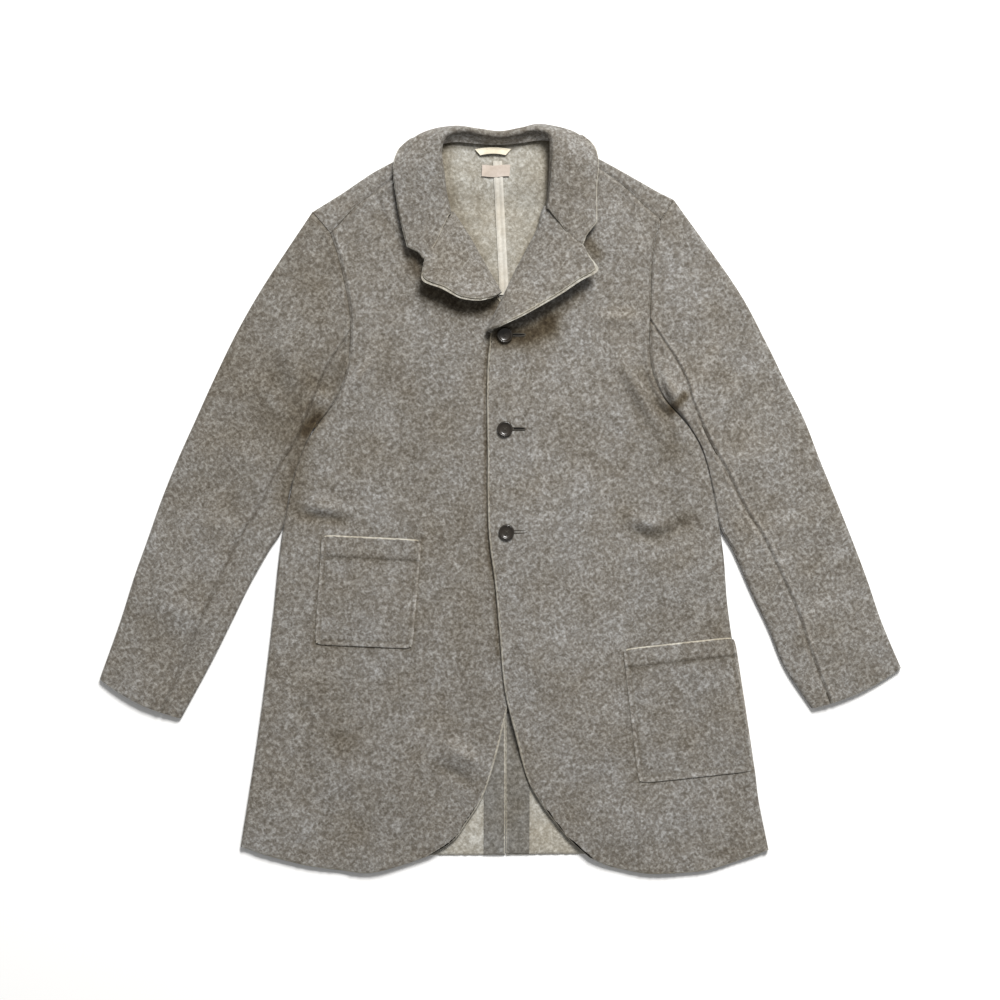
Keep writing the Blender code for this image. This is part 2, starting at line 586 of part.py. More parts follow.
def build_sleeve(left):
    """Make the top and under sleeve as two strips of one flat tube, parted at the inseam and elbow seam."""
    table = np.array(SLEEVE_LEFT if left else SLEEVE_RIGHT, dtype=float)
    stations_at = np.array(SLEEVE_STATIONS)
    sections = len(stations_at)
    row_share = stations_at / stations_at[-1]
    dense = dense_path(table, 2)[(2 * stations_at).astype(int)]
    outer = dense[:, :2]
    inner = dense[:, 2:]
    fold = np.array((SHOULDER_FOLD_LEFT if left else SHOULDER_FOLD_RIGHT)[0], dtype=float)
    armhole = along(ARMHOLE_LEFT if left else ARMHOLE_RIGHT, np.linspace(1.0, 0.0, ARMHOLE_CELLS + 1))
    stations = np.vstack([fold, armhole])
    shares = armhole_shares()
    cuff_bulge = CUFF_BULGE * np.sin(math.pi * shares)
    chord = stations[0] * (1 - shares[:, None]) + stations[-1] * shares[:, None]
    bulge = stations - chord
    plan = np.zeros((sections, len(shares), 2))
    for row in range(sections):
        fade = (1.0 - row_share[row]) ** 2
        line = outer[row] * (1 - shares[:, None]) + inner[row] * shares[:, None]
        axis = inner[row] - outer[row]
        axis = axis / np.linalg.norm(axis)
        down = np.array([axis[1], -axis[0]]) * (-1.0 if left else 1.0)
        if down[1] > 0:
            down = -down
        plan[row] = line + bulge * fade + down * (cuff_bulge * row_share[row] ** 6)[:, None]
    away = np.array([1.0, 0.0]) if left else np.array([-1.0, 0.0])
    plan[0] += away * SLEEVE_GAP
    plan[0, 0] += away * SLEEVE_GAP
    plan[1:, -1] += away * SLEEVE_GAP * 0.6

    def ring_row(row):
        """Return one section's ring: top from outer to inner edge, then the underside back."""
        line = plan[row]
        across_out = line[1] - line[0]
        across_out = across_out / np.linalg.norm(across_out)
        across_in = line[-2] - line[-1]
        across_in = across_in / np.linalg.norm(across_in)
        top = []
        for angle in (0.0, 45.0):
            turn = math.radians(angle)
            shift = EDGE_RADIUS * (1 - math.cos(turn))
            top.append((*(line[0] + across_out * shift), EDGE_RADIUS * (1 + math.sin(turn))))
        top.append((*(line[0] + across_out * EDGE_RADIUS), 2 * EDGE_RADIUS))
        for column in range(1, len(line) - 1):
            lift = fold_relief(line[column][0], line[column][1])
            top.append((*line[column], 2 * EDGE_RADIUS + float(lift)))
        top.append((*(line[-1] + across_in * EDGE_RADIUS), 2 * EDGE_RADIUS))
        for angle in (45.0, 0.0):
            turn = math.radians(angle)
            shift = EDGE_RADIUS * (1 - math.cos(turn))
            top.append((*(line[-1] + across_in * shift), EDGE_RADIUS * (1 + math.sin(turn))))
        under = [(px, py, EDGE_RADIUS * 2 - pz) for px, py, pz in top[::-1][1:-1]]
        for place, (px, py, pz) in enumerate(under):
            if pz < EDGE_RADIUS * 0.2:
                under[place] = (px, py, 0.0)
        return top + under

    ring = np.array([ring_row(row) for row in range(sections)])
    count = ring.shape[1]
    parts_at = np.interp(row_share, *zip(*INSEAM_SHARES))

    # The columns of the top side move so that one of them runs down the inseam
    for row in range(sections):
        line = plan[row]
        columns = np.arange(1, len(line) - 1)
        wanted = parts_at[row]
        own = shares[1:-1]
        moved = np.interp(own, [0.0, own[INSEAM_COLUMN - 1], 1.0], [0.0, wanted, 1.0])
        moved = own * (1 - smooth_step(row_share[row], 0.0, 0.08)) + moved * smooth_step(row_share[row], 0.0, 0.08)
        for column, share in zip(columns, moved):
            place = np.array([np.interp(share, shares, line[:, axis]) for axis in range(2)])
            lift = float(fold_relief(place[0], place[1]))
            edge_fade = min(1.0, share * 12.0, (1.0 - share) * 12.0)
            start_fade = min(1.0, row_share[row] * 12.0)
            ring[row, 2 + column] = (*place, 2 * EDGE_RADIUS + lift * edge_fade * start_fade)
    inseam = 2 + INSEAM_COLUMN
    elbow = count - 2

    points = ring.reshape(-1, 3)
    index = np.arange(len(points)).reshape(sections, count)
    closed = np.hstack([index, index[:, :1]])
    quads = quads_of(closed)
    if not left:
        quads = turned_over(quads)
    normals = point_normals(points, quads)
    name = "left" if left else "right"

    def strip(columns, finish, label):
        """Make the wall over some of the ring's columns, its end columns held off the seams."""
        part_points = points.copy()
        order = index[:, columns]
        for end, inside in ((0, 1), (-1, -2)):
            gap = points[order[:, inside]] - points[order[:, end]]
            length = np.linalg.norm(gap, axis=1, keepdims=True)
            part_points[order[:, end]] = points[order[:, end]] + gap / length * SEAM_GAP * 0.75
        part_quads = quads_of(order)
        if not left:
            part_quads = turned_over(part_quads)
        wall(label, part_points, normals, part_quads, 0.0, -CLOTH, finish)

    top_columns = [elbow, elbow + 1] + list(range(0, inseam + 1))
    under_columns = list(range(inseam, elbow + 1))
    strip(top_columns, "outer_wool", "sleeve_" + name + "_top")
    strip(under_columns, "outer_wool", "sleeve_" + name + "_under")


def build_collar():
    """Make the under and top collar from one face lofted through the sections round the neck."""
    sections = []
    for row in COLLAR:
        nx, ny, rx, ry, rz, fx, fy, ex, ey, ez, tuck = row
        left = nx > 0
        over_front = ny < 420
        neck_top = float(front_height(nx, ny, left)) + FACING_RISE if over_front else CLOTH + NECK_LIFT
        nz = neck_top + LAYER + COLLAR_STAND_GAP
        neck = (nx, ny, nz)
        stand = (0.5 * (nx + rx), 0.5 * (ny + ry), 0.75 * nz + 0.25 * rz)
        roll_foot = (rx, ry, rz - 4.5)
        toward = np.array([fx - rx, fy - ry])
        reach = np.linalg.norm(toward)
        toward = toward / reach * min(6.0, 0.75 * reach)
        roll = (rx + 0.25 * toward[0], ry + 0.25 * toward[1], rz)
        crest = (rx + toward[0], ry + toward[1], rz + 1.0 - 2.0 * tuck)
        fall_z = (1 - tuck) * (0.5 * (rz + ez) + 1.0) + tuck * 11.0
        fall = (fx, fy, fall_z)
        turn_x = fx + (ex - fx) * (0.5 - 0.40 * tuck)
        turn_y = fy + (ey - fy) * (0.5 - 0.44 * tuck)
        turn_z = (1 - tuck) * (0.5 * (fall_z + ez)) + tuck * 3.2
        sections.append([neck, stand, roll_foot, roll, crest, fall, (turn_x, turn_y, turn_z), (ex, ey, ez)])
    sections = np.array(sections, dtype=float)
    sections = dense_path(sections.reshape(len(COLLAR), -1), 12)
    chosen = np.linspace(0, len(sections) - 1, COLLAR_ROWS).round().astype(int)
    rows = np.array([along(section.reshape(-1, 3), COLLAR_STEPS) for section in sections[chosen]])
    rows[..., 2] = np.maximum(rows[..., 2], LAYER + 0.05)
    points = rows.reshape(-1, 3)
    index = np.arange(len(points)).reshape(rows.shape[:2])
    quads = quads_of(index)
    normals = point_normals(points, quads)
    middle = normals.reshape(rows.shape)[COLLAR_ROWS // 2, 5]
    if middle[2] < 0:
        quads = turned_over(quads)
        normals = point_normals(points, quads)
    wall("collar_under", points, normals, quads, 0.0, -CLOTH, "outer_wool")
    top_points = points.copy()
    top_normals = normals.copy()
    pull_in(top_points, top_normals, index[:, -1], index[:, -2], RAW_EDGE_STEP)
    notch = COLLAR_NOTCH_STEP
    pull_in(top_points, top_normals, index[0, notch:], index[1, notch:], RAW_EDGE_STEP)
    pull_in(top_points, top_normals, index[-1, notch:], index[-2, notch:], RAW_EDGE_STEP)
    wall("collar_top", top_points, top_normals, quads, LAYER, SEAM_GAP, "outer_wool")


def build_pocket(name, corners, left, band):
    """Make a patch pocket from the points of the front under it, moved up, with its turned band on top."""
    low_out, low_in, high_in, high_out = [np.array(corner, dtype=float) for corner in corners]
    across = np.linspace(0.0, 1.0, POCKET_CELLS + 1)[None, :, None]
    steps = np.concatenate([np.linspace(0.0, band, POCKET_CELLS)[:-1], [band - POCKET_BAND_STEP, band, 1.0]])
    up = steps[:, None, None]
    low = low_out * (1 - across) + low_in * across
    high = high_out * (1 - across) + high_in * across
    plan = low * (1 - up) + high * up
    x = plan[..., 0]
    y = plan[..., 1]
    raised = np.where(steps >= band, POCKET_BAND_RISE, 0.0)[:, None] + np.zeros_like(x)
    z = front_height(x, y, left) + fold_relief(x, y) + POCKET_GAP + CLOTH + raised
    points = np.stack([x, y, z], axis=-1).reshape(-1, 3)
    index = np.arange(len(points)).reshape(x.shape)
    quads = quads_of(index)
    if x[0, 1] < x[0, 0]:
        quads = turned_over(quads)
    count = len(points)
    bottom = points - np.array([0.0, 0.0, 1.0]) * (CLOTH + raised).reshape(-1, 1)
    faces = triangles_of(quads).tolist() + triangles_of(turned_over(quads) + count).tolist() + rim_of(quads, count)
    make_object(name, np.vstack([points, bottom]), faces, "outer_wool")


def turned(name, profile, centre, finish, segments):
    """Make a turned piece from its half profile of radius and height, listed from the foot's middle up."""
    vertices = [(centre[0], centre[1], centre[2] + profile[0][1])]
    for radius, height in profile[1:-1]:
        for step in range(segments):
            angle = 2 * math.pi * step / segments
            vertices.append((centre[0] + radius * math.cos(angle), centre[1] + radius * math.sin(angle),
                             centre[2] + height))
    vertices.append((centre[0], centre[1], centre[2] + profile[-1][1]))
    rings = len(profile) - 2
    faces = []
    for step in range(segments):
        after = (step + 1) % segments
        faces.append((0, 1 + after, 1 + step))
        for ring in range(rings - 1):
            base = 1 + ring * segments
            faces.append((base + step, base + after, base + segments + after, base + segments + step))
        base = 1 + (rings - 1) * segments
        faces.append((base + step, base + after, len(vertices) - 1))
    make_object(name, vertices, faces, finish)


def build_buttons():
    """Make the dished buttons, each on the left front."""
    radius = BUTTON_DIAMETER / 2
    profile = [(0.0, 0.0), (0.60 * radius, 0.0), (0.90 * radius, 0.9), (radius, 2.0), (0.97 * radius, 3.5),
               (0.88 * radius, BUTTON_THICKNESS), (0.76 * radius, 3.9), (0.60 * radius, 3.1), (0.0, 2.9)]
    for name, x, y in BUTTONS:
        ring = np.linspace(0.0, 2 * math.pi, 24)
        height = float(np.max(front_height(x + radius * np.cos(ring), y + radius * np.sin(ring), True)))
        height += FACING_RISE
        turned(name, profile, (x, y, height + SEAM_GAP), "button_horn", BUTTON_SEGMENTS)


def flat_strip(name, path, width, thickness, base, finish):
    """Make a flat strip along a path on the plan, its underside at the height that base gives."""
    path = np.array(path, dtype=float)
    run = np.gradient(path, axis=0)
    run = run / np.linalg.norm(run, axis=1, keepdims=True)
    side = np.stack([run[:, 1], -run[:, 0]], axis=-1)
    steps = np.array([0.5, 0.0, -0.5])
    plan = path[:, None] - side[:, None] * (steps[None, :, None] * width)
    x = plan[..., 0]
    y = plan[..., 1]
    z = base(x, y) + thickness
    points = np.stack([x, y, z], axis=-1).reshape(-1, 3)
    index = np.arange(len(points)).reshape(x.shape)
    quads = quads_of(index)
    normals = point_normals(points, quads)
    if normals[:, 2].mean() < 0:
        quads = turned_over(quads)
        normals = -normals
    wall(name, points, normals, quads, 0.0, -thickness, finish)


def back_face(x, y):
    """Return the height just over the inner face of the back, which is straight between its levels."""
    levels = np.array([-433.0] + CENTRE_LEVELS)
    return np.interp(y, levels, neck_lift(0.0, levels)) + CLOTH + 1.5 * SEAM_GAP


def build_trim():
    """Make the tape on the back seam, the hanger loop, the bare label and the facings of the vent."""
    levels = [TAPE_HEAD] + [y for y in CENTRE_LEVELS[::-1] if TAPE_FOOT < y < TAPE_HEAD] + [TAPE_FOOT]
    tape = [(-3 + 0.05 * (TAPE_HEAD - y), y) for y in levels]
    flat_strip("back_tape", tape, TAPE_WIDTH, TAPE_THICKNESS, back_face, "cotton_tape")
    label = [(x, LABEL_LEVEL) for x in np.linspace(*LABEL_SPAN, 5)]
    flat_strip("label", label, LABEL_WIDTH, LABEL_THICKNESS,
               lambda x, y: back_face(x, y) + TAPE_THICKNESS + SEAM_GAP, "cotton_tape")
    middle = 0.5 * (LOOP_SPAN[0] + LOOP_SPAN[1])
    loop = [(x, LOOP_LEVEL - LOOP_SAG * (x - middle) ** 2) for x in np.linspace(*LOOP_SPAN, 9)]
    flat_strip("hanger_loop", loop, LOOP_WIDTH, LOOP_THICKNESS,
               lambda x, y: back_face(x, y) + SEAM_GAP * 0.5, "cotton_tape")
    for name, (x, foot) in (("vent_facing_right", VENT_RIGHT), ("vent_facing_left", VENT_LEFT)):
        path = [(x, y) for y in np.linspace(foot, VENT_HEAD, VENT_CELLS + 1)]
        flat_strip(name, path, VENT_WIDTH, CLOTH * 0.6, back_face, "facing_strip")


def main():
    """Build the whole jacket."""
    clear_scene()
    for left in (False, True):
        build_back(left)
        build_front(left)
        build_sleeve(left)
    build_collar()
    build_pocket("pocket_right", POCKET_RIGHT, False, POCKET_RIGHT_BAND)
    build_pocket("pocket_left", POCKET_LEFT, True, POCKET_LEFT_BAND)
    build_buttons()
    build_trim()


main()
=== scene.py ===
"""Men's boiled wool jacket laid flat with its front up, on a pale floor.

The jacket's plan is in millimetres, as seen from above: x to the right of the view, y from the hem to the
collar, z up from the floor. Right and left are the wearer's, so the right side has negative x.
"""

import math

import bpy
import numpy as np
from bpy.props import FloatProperty, PointerProperty
from bpy.types import Operator, Panel, PropertyGroup
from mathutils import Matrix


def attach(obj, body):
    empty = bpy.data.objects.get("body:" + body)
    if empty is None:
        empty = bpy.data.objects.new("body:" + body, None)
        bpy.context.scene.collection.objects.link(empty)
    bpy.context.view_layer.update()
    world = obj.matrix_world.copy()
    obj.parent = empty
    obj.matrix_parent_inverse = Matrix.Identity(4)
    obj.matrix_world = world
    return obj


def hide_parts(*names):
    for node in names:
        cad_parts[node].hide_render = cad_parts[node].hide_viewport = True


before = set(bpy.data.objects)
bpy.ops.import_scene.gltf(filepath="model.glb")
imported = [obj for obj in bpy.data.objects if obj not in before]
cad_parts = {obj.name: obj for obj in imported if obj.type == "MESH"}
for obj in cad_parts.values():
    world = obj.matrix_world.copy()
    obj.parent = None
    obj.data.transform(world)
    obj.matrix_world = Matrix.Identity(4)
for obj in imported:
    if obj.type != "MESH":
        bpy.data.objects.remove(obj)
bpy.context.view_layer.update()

bl_info = {
    "name": "Wool jacket",
    "version": (1, 0, 0),
    "blender": (4, 5, 0),
    "location": "View3D > Sidebar > Jacket",
    "description": "Builds a boiled wool jacket laid flat, with its floor, light and camera",
    "category": "Add Mesh",
}

OUTLINE_MIDDLE = (0.5, 0.51, 0.0)
MILLIMETRE = 0.001

# Sizes shared by the pieces, in millimetres
SEAM_GAP = 0.3
EDGE_RADIUS = 3.8
ROLL_RADIUS = 1.6
FRONT_REST = 2.0 * EDGE_RADIUS
OVERLAP_LIFT = 5.9
FACING_RISE = 1.5
NECK_LIFT = 6.0
BACK_CLOTH = 2.2
FLOOR_HALF_WIDTH = 6.0
FLOOR_LEVEL = -0.0003
SHARP_ANGLE = 60.0
# Lowest and highest tone, the factor of painted shade and light on the wool's colour
TONE_RANGE = (0.25, 1.8)
COLLAR_STEPS = 90
COLLAR_RAW_FROM = 30
ARC_STEPS = 11
HOLE_REACH = 15.5
HOLE_HALF_LENGTH = 9.0
HOLE_RISE = 0.4

# Outlines of the body, one (x, y) row a point, from the hem up
SIDE_RIGHT = [(-316, -422), (-307, -366), (-299, -315), (-289, -244), (-277, -146), (-267, -52), (-256, 6),
              (-249, 37), (-240, 61), (-231, 81), (-221, 93)]
SIDE_LEFT = [(327, -426), (315, -366), (312, -339), (296, -244), (279, -146), (271, -55), (260, 6),
             (254, 37), (245, 63), (232, 87), (217, 105)]
ARMHOLE_RIGHT = [(-221, 93), (-204, 115), (-192, 140), (-184, 171), (-182, 201), (-183, 232), (-188, 260),
                 (-194, 287), (-200, 307), (-206, 325)]
ARMHOLE_LEFT = [(217, 105), (198, 126), (188, 149), (182, 177), (182, 201), (183, 232), (184, 262),
                (185, 290), (188, 314), (196, 341)]
SHOULDER_SEAM_RIGHT = [(-206, 325), (-179, 354), (-156, 372), (-133, 388), (-102, 412)]
SHOULDER_SEAM_LEFT = [(196, 341), (173, 361), (151, 382), (123, 401), (94, 415)]
SHOULDER_FOLD_RIGHT = [(-228, 351), (-207, 364), (-185, 378), (-159, 396), (-129, 412), (-98, 425)]
SHOULDER_FOLD_LEFT = [(211, 366), (187, 378), (172, 387), (138, 406), (116, 417), (94, 427)]
NECK_BACK_RIGHT = [(-98, 425), (-83, 433), (-61, 439), (-30, 437), (-0.6, 436)]
NECK_BACK_LEFT = [(94, 427), (76, 437), (55, 441), (28, 438), (-0.2, 436)]
EDGE_RIGHT = [(-84, -432), (-56, -414), (-40, -392), (-27, -371), (-16, -353), (-9, -327), (0, -300),
              (7, -257), (12, -232), (21, -201), (28, -159), (32, -110), (33, -49), (33, 61), (33, 122),
              (30, 171), (19, 215), (-3, 249)]
EDGE_LEFT = [(110, -436), (95, -424), (72, -399), (57, -379), (39, -353), (26, -316), (18, -278), (7, -238),
             (1, -189), (-1, -152), (-4, -116), (-10, -79), (-13, -49), (-15, 0), (-15, 61), (-16, 122),
             (-15, 165), (-11, 203)]
HEM_RIGHT = [(-316, -422), (-283, -433), (-235, -445), (-192, -451), (-159, -454), (-121, -445), (-84, -432)]
HEM_LEFT = [(327, -426), (293, -438), (250, -451), (201, -455), (171, -454), (135, -446), (110, -436)]
HEM_BACK_RIGHT = [(-316, -422), (-244, -431), (-88, -433), (6.4, -433)]
HEM_BACK_LEFT = [(327, -426), (244, -431), (73, -432), (7.1, -433)]
NECK_RIGHT = [(-62, 347), (-78, 359), (-90, 380), (-97, 397), (-102, 412)]
NECK_LEFT = [(59, 355), (70, 365), (79, 382), (86, 399), (94, 415)]
ROLL_RIGHT = [(-3, 249), (-13, 266), (-27, 290), (-42, 317), (-62, 347)]
ROLL_LEFT = [(-11, 203), (9, 244), (31, 290), (49, 323), (59, 355)]
LAPEL_RIGHT = [(-5, 246), (-18, 241), (-31, 240), (-49, 243), (-70, 254), (-93, 264), (-93, 278), (-90, 293)]
LAPEL_LEFT = [(-8, 205), (14, 214), (38, 226), (76, 249), (98, 264), (119, 277), (110, 292), (96, 309)]
LAPEL_STATIONS = [0.0, 0.13, 0.30, 0.50, 0.70, 0.86, 1.0]
LAPEL_TURN = ([0.0, 0.17, 0.34, 1.0], [70.0, 150.0, 180.0, 180.0])
LAPEL_LIFT = ([0.0, 0.1, 0.3, 0.55, 0.8, 1.0], [12.0, 19.0, 22.0, 21.0, 15.0, 9.0])

# Levels of the body panels: share of the side seam and of the front edge below the roll
LEVELS = [(0.0, 0.0), (0.035, 0.045), (0.075, 0.085), (0.12, 0.13), (0.18, 0.185), (0.26, 0.26),
          (0.36, 0.35), (0.46, 0.45), (0.56, 0.54), (0.66, 0.63), (0.75, 0.71), (0.82, 0.78), (0.88, 0.84),
          (0.94, 0.90), (1.0, 0.95)]
UPPER_EDGE_SHARES = [0.975, 1.0]
ARMPIT_LEVEL = 14
ROLL_FOOT_LEVEL = 16
ROLL_HEAD_LEVEL = 22
FRONT_TOP_LEVEL = 24
BACK_TOP_LEVEL = 25
ARMHOLE_CELLS = 10
FACING_LEVELS = {False: (0.53, 0.575), True: (0.42, 0.60)}
FACING_START = 0.60
BACK_COLUMNS = [0.0, 0.14, 0.28, 0.42, 0.55, 0.67, 0.78, 0.89, 1.0]
SHOULDER_COLUMNS = 7
CENTRE_LEVELS = [200, 235, 265, 292, 318, 338, 352, 364, 376, 388, 406, 436]

# Sleeves, one row a section from the armhole to the cuff: x and y of the outer and of the inner edge
SLEEVE_RIGHT = [(-228, 351, -221, 93), (-283, 268, -224.6, 90), (-317, 210, -229.4, 81),
                (-346, 151, -239.6, 58),
                (-370, 98, -254, 15), (-392, 49, -264, -34), (-411, 2, -281.5, -63), (-429, -49, -305, -105),
                (-445, -94, -326, -148), (-462, -148, -350, -196), (-487, -218, -388, -266)]
SLEEVE_LEFT = [(211, 366, 217, 105), (287, 259, 224, 98), (322, 195, 232, 87), (346, 146, 246.5, 60),
               (370, 98, 258, 15), (389, 49, 267, -32), (409, 0, 283, -62), (429, -50, 305, -112),
               (447, -98, 326, -156), (464, -148, 346, -204), (488, -205, 379, -254)]
CUFF_BULGE = 6.0
INSEAM_AT = [0.0, 0.1, 0.2, 0.3, 0.4, 0.5, 0.7, 0.9, 1.0]
INSEAM_SHARES = {False: [0.56, 0.62, 0.72, 0.79, 0.74, 0.70, 0.71, 0.74, 0.78],
                 True: [0.56, 0.62, 0.72, 0.79, 0.74, 0.69, 0.677, 0.72, 0.80]}
SHOULDER_STRIP_SHARE = 0.118
SLEEVE_GAP = 0.5

# Collar, one row a section from the right notch round the neck to the left one: x and y of the neck seam,
# x, y and z of the roll, x and y of the fall, x, y and z of the edge, and the tuck under the back
COLLAR = [
    (-72, 351, -61, 346, 19, -87, 294, -113, 307, 15, 0.0),
    (-83, 373, -67, 372, 21, -101, 336, -120, 334, 15, 0.0),
    (-91, 393, -70, 395, 25, -107, 374, -126, 366, 16, 0.0),
    (-96, 410, -73, 416, 28, -110, 406, -130, 401, 17, 0.0),
    (-90, 424, -71, 432, 29, -103, 435, -123, 427, 11, 0.4),
    (-76, 432, -62, 442, 28, -82, 448, -102, 438, 5, 0.8),
    (-55, 436, -43, 446, 27, -53, 452, -72, 412, 2.8, 1.0),
    (-28, 434, -22, 442, 27, -26, 448, -36, 400, 2.8, 1.0),
    (0, 433, 0, 439, 27, 0, 445, 0, 396, 2.8, 1.0),
    (24, 435, 20, 442, 27, 24, 449, 33, 400, 2.8, 1.0),
    (50, 438, 38, 447, 27, 48, 454, 67, 412, 2.8, 1.0),
    (68, 435, 55, 444, 28, 78, 449, 97, 441, 5, 0.8),
    (84, 426, 62, 435, 29, 95, 438, 114, 432, 11, 0.4),
    (90, 412, 63, 418, 28, 103, 411, 120, 409, 18, 0.0),
    (83, 396, 62, 398, 25, 100, 384, 118, 380, 17, 0.0),
    (76, 378, 61, 377, 21, 100, 352, 118, 352, 15, 0.0),
    (67, 359, 58, 353, 19, 95, 309, 118, 336, 15, 0.0),
]

# How much higher than its solid the collar's free edge stands at its front ends
COLLAR_END_LIFT = 5.0

# Main creases: x and y of one end and of the other, half width and height
FOLDS = [
    (-242, -5, -190, -10, 10, 1.6),
    (-246, -17, -184, -27, 7, -1.5),
    (-60, -300, -10, -326, 10, 2.6),
    (-79, -322, -24, -350, 8, -1.6),
    (-205, -287, -190, -300, 14, -1.2),
    (-244, -250, -235, -262, 14, -1.0),
    (150, 168, 196, 88, 10, 3.4),
    (186, 118, 216, 96, 7, -1.9),
    (196, 142, 214, 124, 7, 1.8),
    (-236, 92, -216, 100, 8, -1.8),
    (-232, 126, -206, 122, 9, 1.6),
    (167, 159, 212, 72, 8, -1.8),
    (212, 72, 193, 24, 9, -1.4),
    (190, 170, 226, 100, 9, 3.0),
    (156, -38, 189, -50, 7, -1.6),
    (189, -50, 234, -24, 8, -1.6),
    (160, -22, 205, -34, 9, 2.4),
    (116, 223, 172, 222, 9, 1.6),
    (-150, 180, -196, 118, 10, 2.8),
    (-168, 190, -206, 136, 8, -1.4),
    (-262, 190, -238, 112, 12, 1.7),
    (-300, 150, -252, 96, 12, 1.2),
    (-330, 60, -268, 40, 14, 0.9),
    (-390, -20, -300, -40, 15, 0.9),
    (-420, -120, -350, -150, 15, 0.8),
    (262, 196, 236, 118, 12, 1.7),
    (300, 156, 250, 96, 12, 1.2),
    (330, 64, 270, 40, 14, 0.9),
    (392, -16, 300, -44, 15, 0.9),
    (424, -118, 350, -156, 15, 0.8),
]

# The creases are this many times as deep as those of the solids
FOLD_GAIN = 2.3

# Soft unevenness of the thick cloth: wave length, direction in degrees, phase and height
WAVES = [(210.0, 20.0, 0.3, 0.50), (160.0, 75.0, 1.9, 0.45), (118.0, 128.0, 4.2, 0.36),
         (86.0, 48.0, 2.7, 0.26), (64.0, 164.0, 5.5, 0.18), (47.0, 97.0, 0.9, 0.12)]

POCKET_RIGHT = [(-226, -176), (-106, -181), (-95, -48), (-217, -42)]
POCKET_LEFT = [(168, -345), (311, -330), (286, -166), (149, -181)]
POCKET_RIGHT_BAND = 0.80
POCKET_LEFT_BAND = 0.86
BUTTONS = [("button_1", 6, 200), ("button_2", 6, 86), ("button_3", 8, -39)]
VENT_STRIPS = [("vent_facing_right", -6.7, 25.6, -431.0, -1), ("vent_facing_left", 21.5, 28.6, -430.0, 0)]

# Painted shade: shadows painted into the cloth's tone along paths, each with the path, its half width and how
# much darker the cloth is there
NECK_SHADE = [([(-27, 290), (-50, 330), (-64, 350), (-71, 400), (-76, 436)], 15.0, 0.34),
              ([(31, 290), (49, 323), (59, 356), (60, 400), (60, 434)], 12.0, 0.28),
              ([(-74, 435), (-30, 437), (0, 435), (28, 438), (60, 438)], 5.0, 0.30)]
FRONT_SHADE = {
    False: [([(-88, 255), (-70, 247), (-49, 236), (-28, 233), (-8, 238)], 11.0, 0.54),
            ([(-2, -189), (-6, -116), (-15, -49), (-17, 0), (-17, 61), (-18, 122), (-17, 165), (-13, 203)],
             2.2, 0.42),
            ([(-106, 298), (-99, 276)], 9.0, 0.36),
            ([(-217, -42), (-226, -176), (-106, -181), (-95, -48)], 2.4, 0.24)],
    True: [([(0, 197), (30, 198), (58, 210)], 14.0, 0.78), ([(58, 218), (76, 234), (98, 250)], 9.0, 0.30),
           ([(106, 313), (118, 299)], 9.0, 0.46),
           ([(149, -181), (168, -345), (311, -330)], 2.4, 0.18)]}

# The same for painted shade in the hollows and painted highlights on the ridges at the arms and on the
# fronts; a negative strength paints light
CREASE_SHADE = [
    ([(-262, 160), (-276, 90)], 30.0, 0.15), ([(-128, 150), (-110, 60)], 60.0, 0.05),
    ([(172, 150), (194, 100), (208, 62)], 21.0, 0.26), ([(209, 110), (225, 127)], 6.0, 0.75),
    ([(204, 134), (212, 128)], 6.0, -0.12), ([(150, -24), (186, -40), (232, -20)], 13.0, 0.21),
    ([(192, -36), (225, -20)], 7.0, 0.10), ([(116, 223), (172, 222)], 5.0, -0.06),
    ([(-246, -18), (-220, -26), (-190, -26)], 8.0, 0.20), ([(-236, -2), (-196, -10)], 9.0, -0.06),
    ([(-237, 83), (-220, 100)], 6.5, 0.62), ([(-232, 140), (-240, 104), (-245, 60), (-252, 5)], 20.0, 0.25),
    ([(-231, 130), (-214, 122)], 9.0, -0.14), ([(-79, -322), (-20, -350)], 9.0, 0.12),
    ([(-60, -302), (-10, -326)], 9.0, -0.07), ([(-205, -287), (-192, -298)], 16.0, 0.13),
    ([(-244, -250), (-236, -262)], 13.0, 0.08), ([(262, -159), (268, -150)], 12.0, 0.12),
    ([(5, -122), (8, -124)], 8.0, 0.08), ([(-93, -62), (-91, -320)], 1.8, 0.09),
    ([(-97, -62), (-95, -320)], 2.2, -0.07), ([(190, 318), (183, 280), (184, 200)], 1.6, 0.14),
    ([(196, 318), (189, 280), (190, 200)], 2.6, -0.10), ([(182, 318), (177, 280), (178, 200)], 2.6, -0.10)]

SIDE_NAMES = {False: "right", True: "left"}


def smooth_step(value, low, high):
    """Return s(t) = 3t² - 2t³ of t = (value - low) / (high - low), held between 0 and 1."""
    share = np.clip((np.asarray(value, dtype=float) - low) / (high - low), 0.0, 1.0)
    return share * share * (3.0 - 2.0 * share)


def spline_at(points, place):
    """Return the Catmull-Rom curve through the rows of points, read at real-valued row numbers.

    With s the fraction between the rows p1 and p2, it is half of
    2p1 + (p2 - p0) s + (2p0 - 5p1 + 4p2 - p3) s² + (3p1 - p0 - 3p2 + p3) s³.
    """
    points = np.asarray(points, dtype=float)
    place = np.asarray(place, dtype=float)
    padded = np.concatenate([2 * points[:1] - points[1:2], points, 2 * points[-1:] - points[-2:-1]])
    cell = np.clip(place.astype(int), 0, len(points) - 2)
    share = (place - cell).reshape(place.shape + (1,) * (points.ndim - 1))
    p0, p1, p2, p3 = (padded[cell + step] for step in range(4))
    return 0.5 * (2 * p1 + (p2 - p0) * share + (2 * p0 - 5 * p1 + 4 * p2 - p3) * share ** 2
                  + (3 * p1 - p0 - 3 * p2 + p3) * share ** 3)


def dense_path(points, steps=24):
    """Return a close polyline along the Catmull-Rom curve through the points."""
    return spline_at(points, np.linspace(0.0, len(points) - 1.0, (len(points) - 1) * steps + 1))


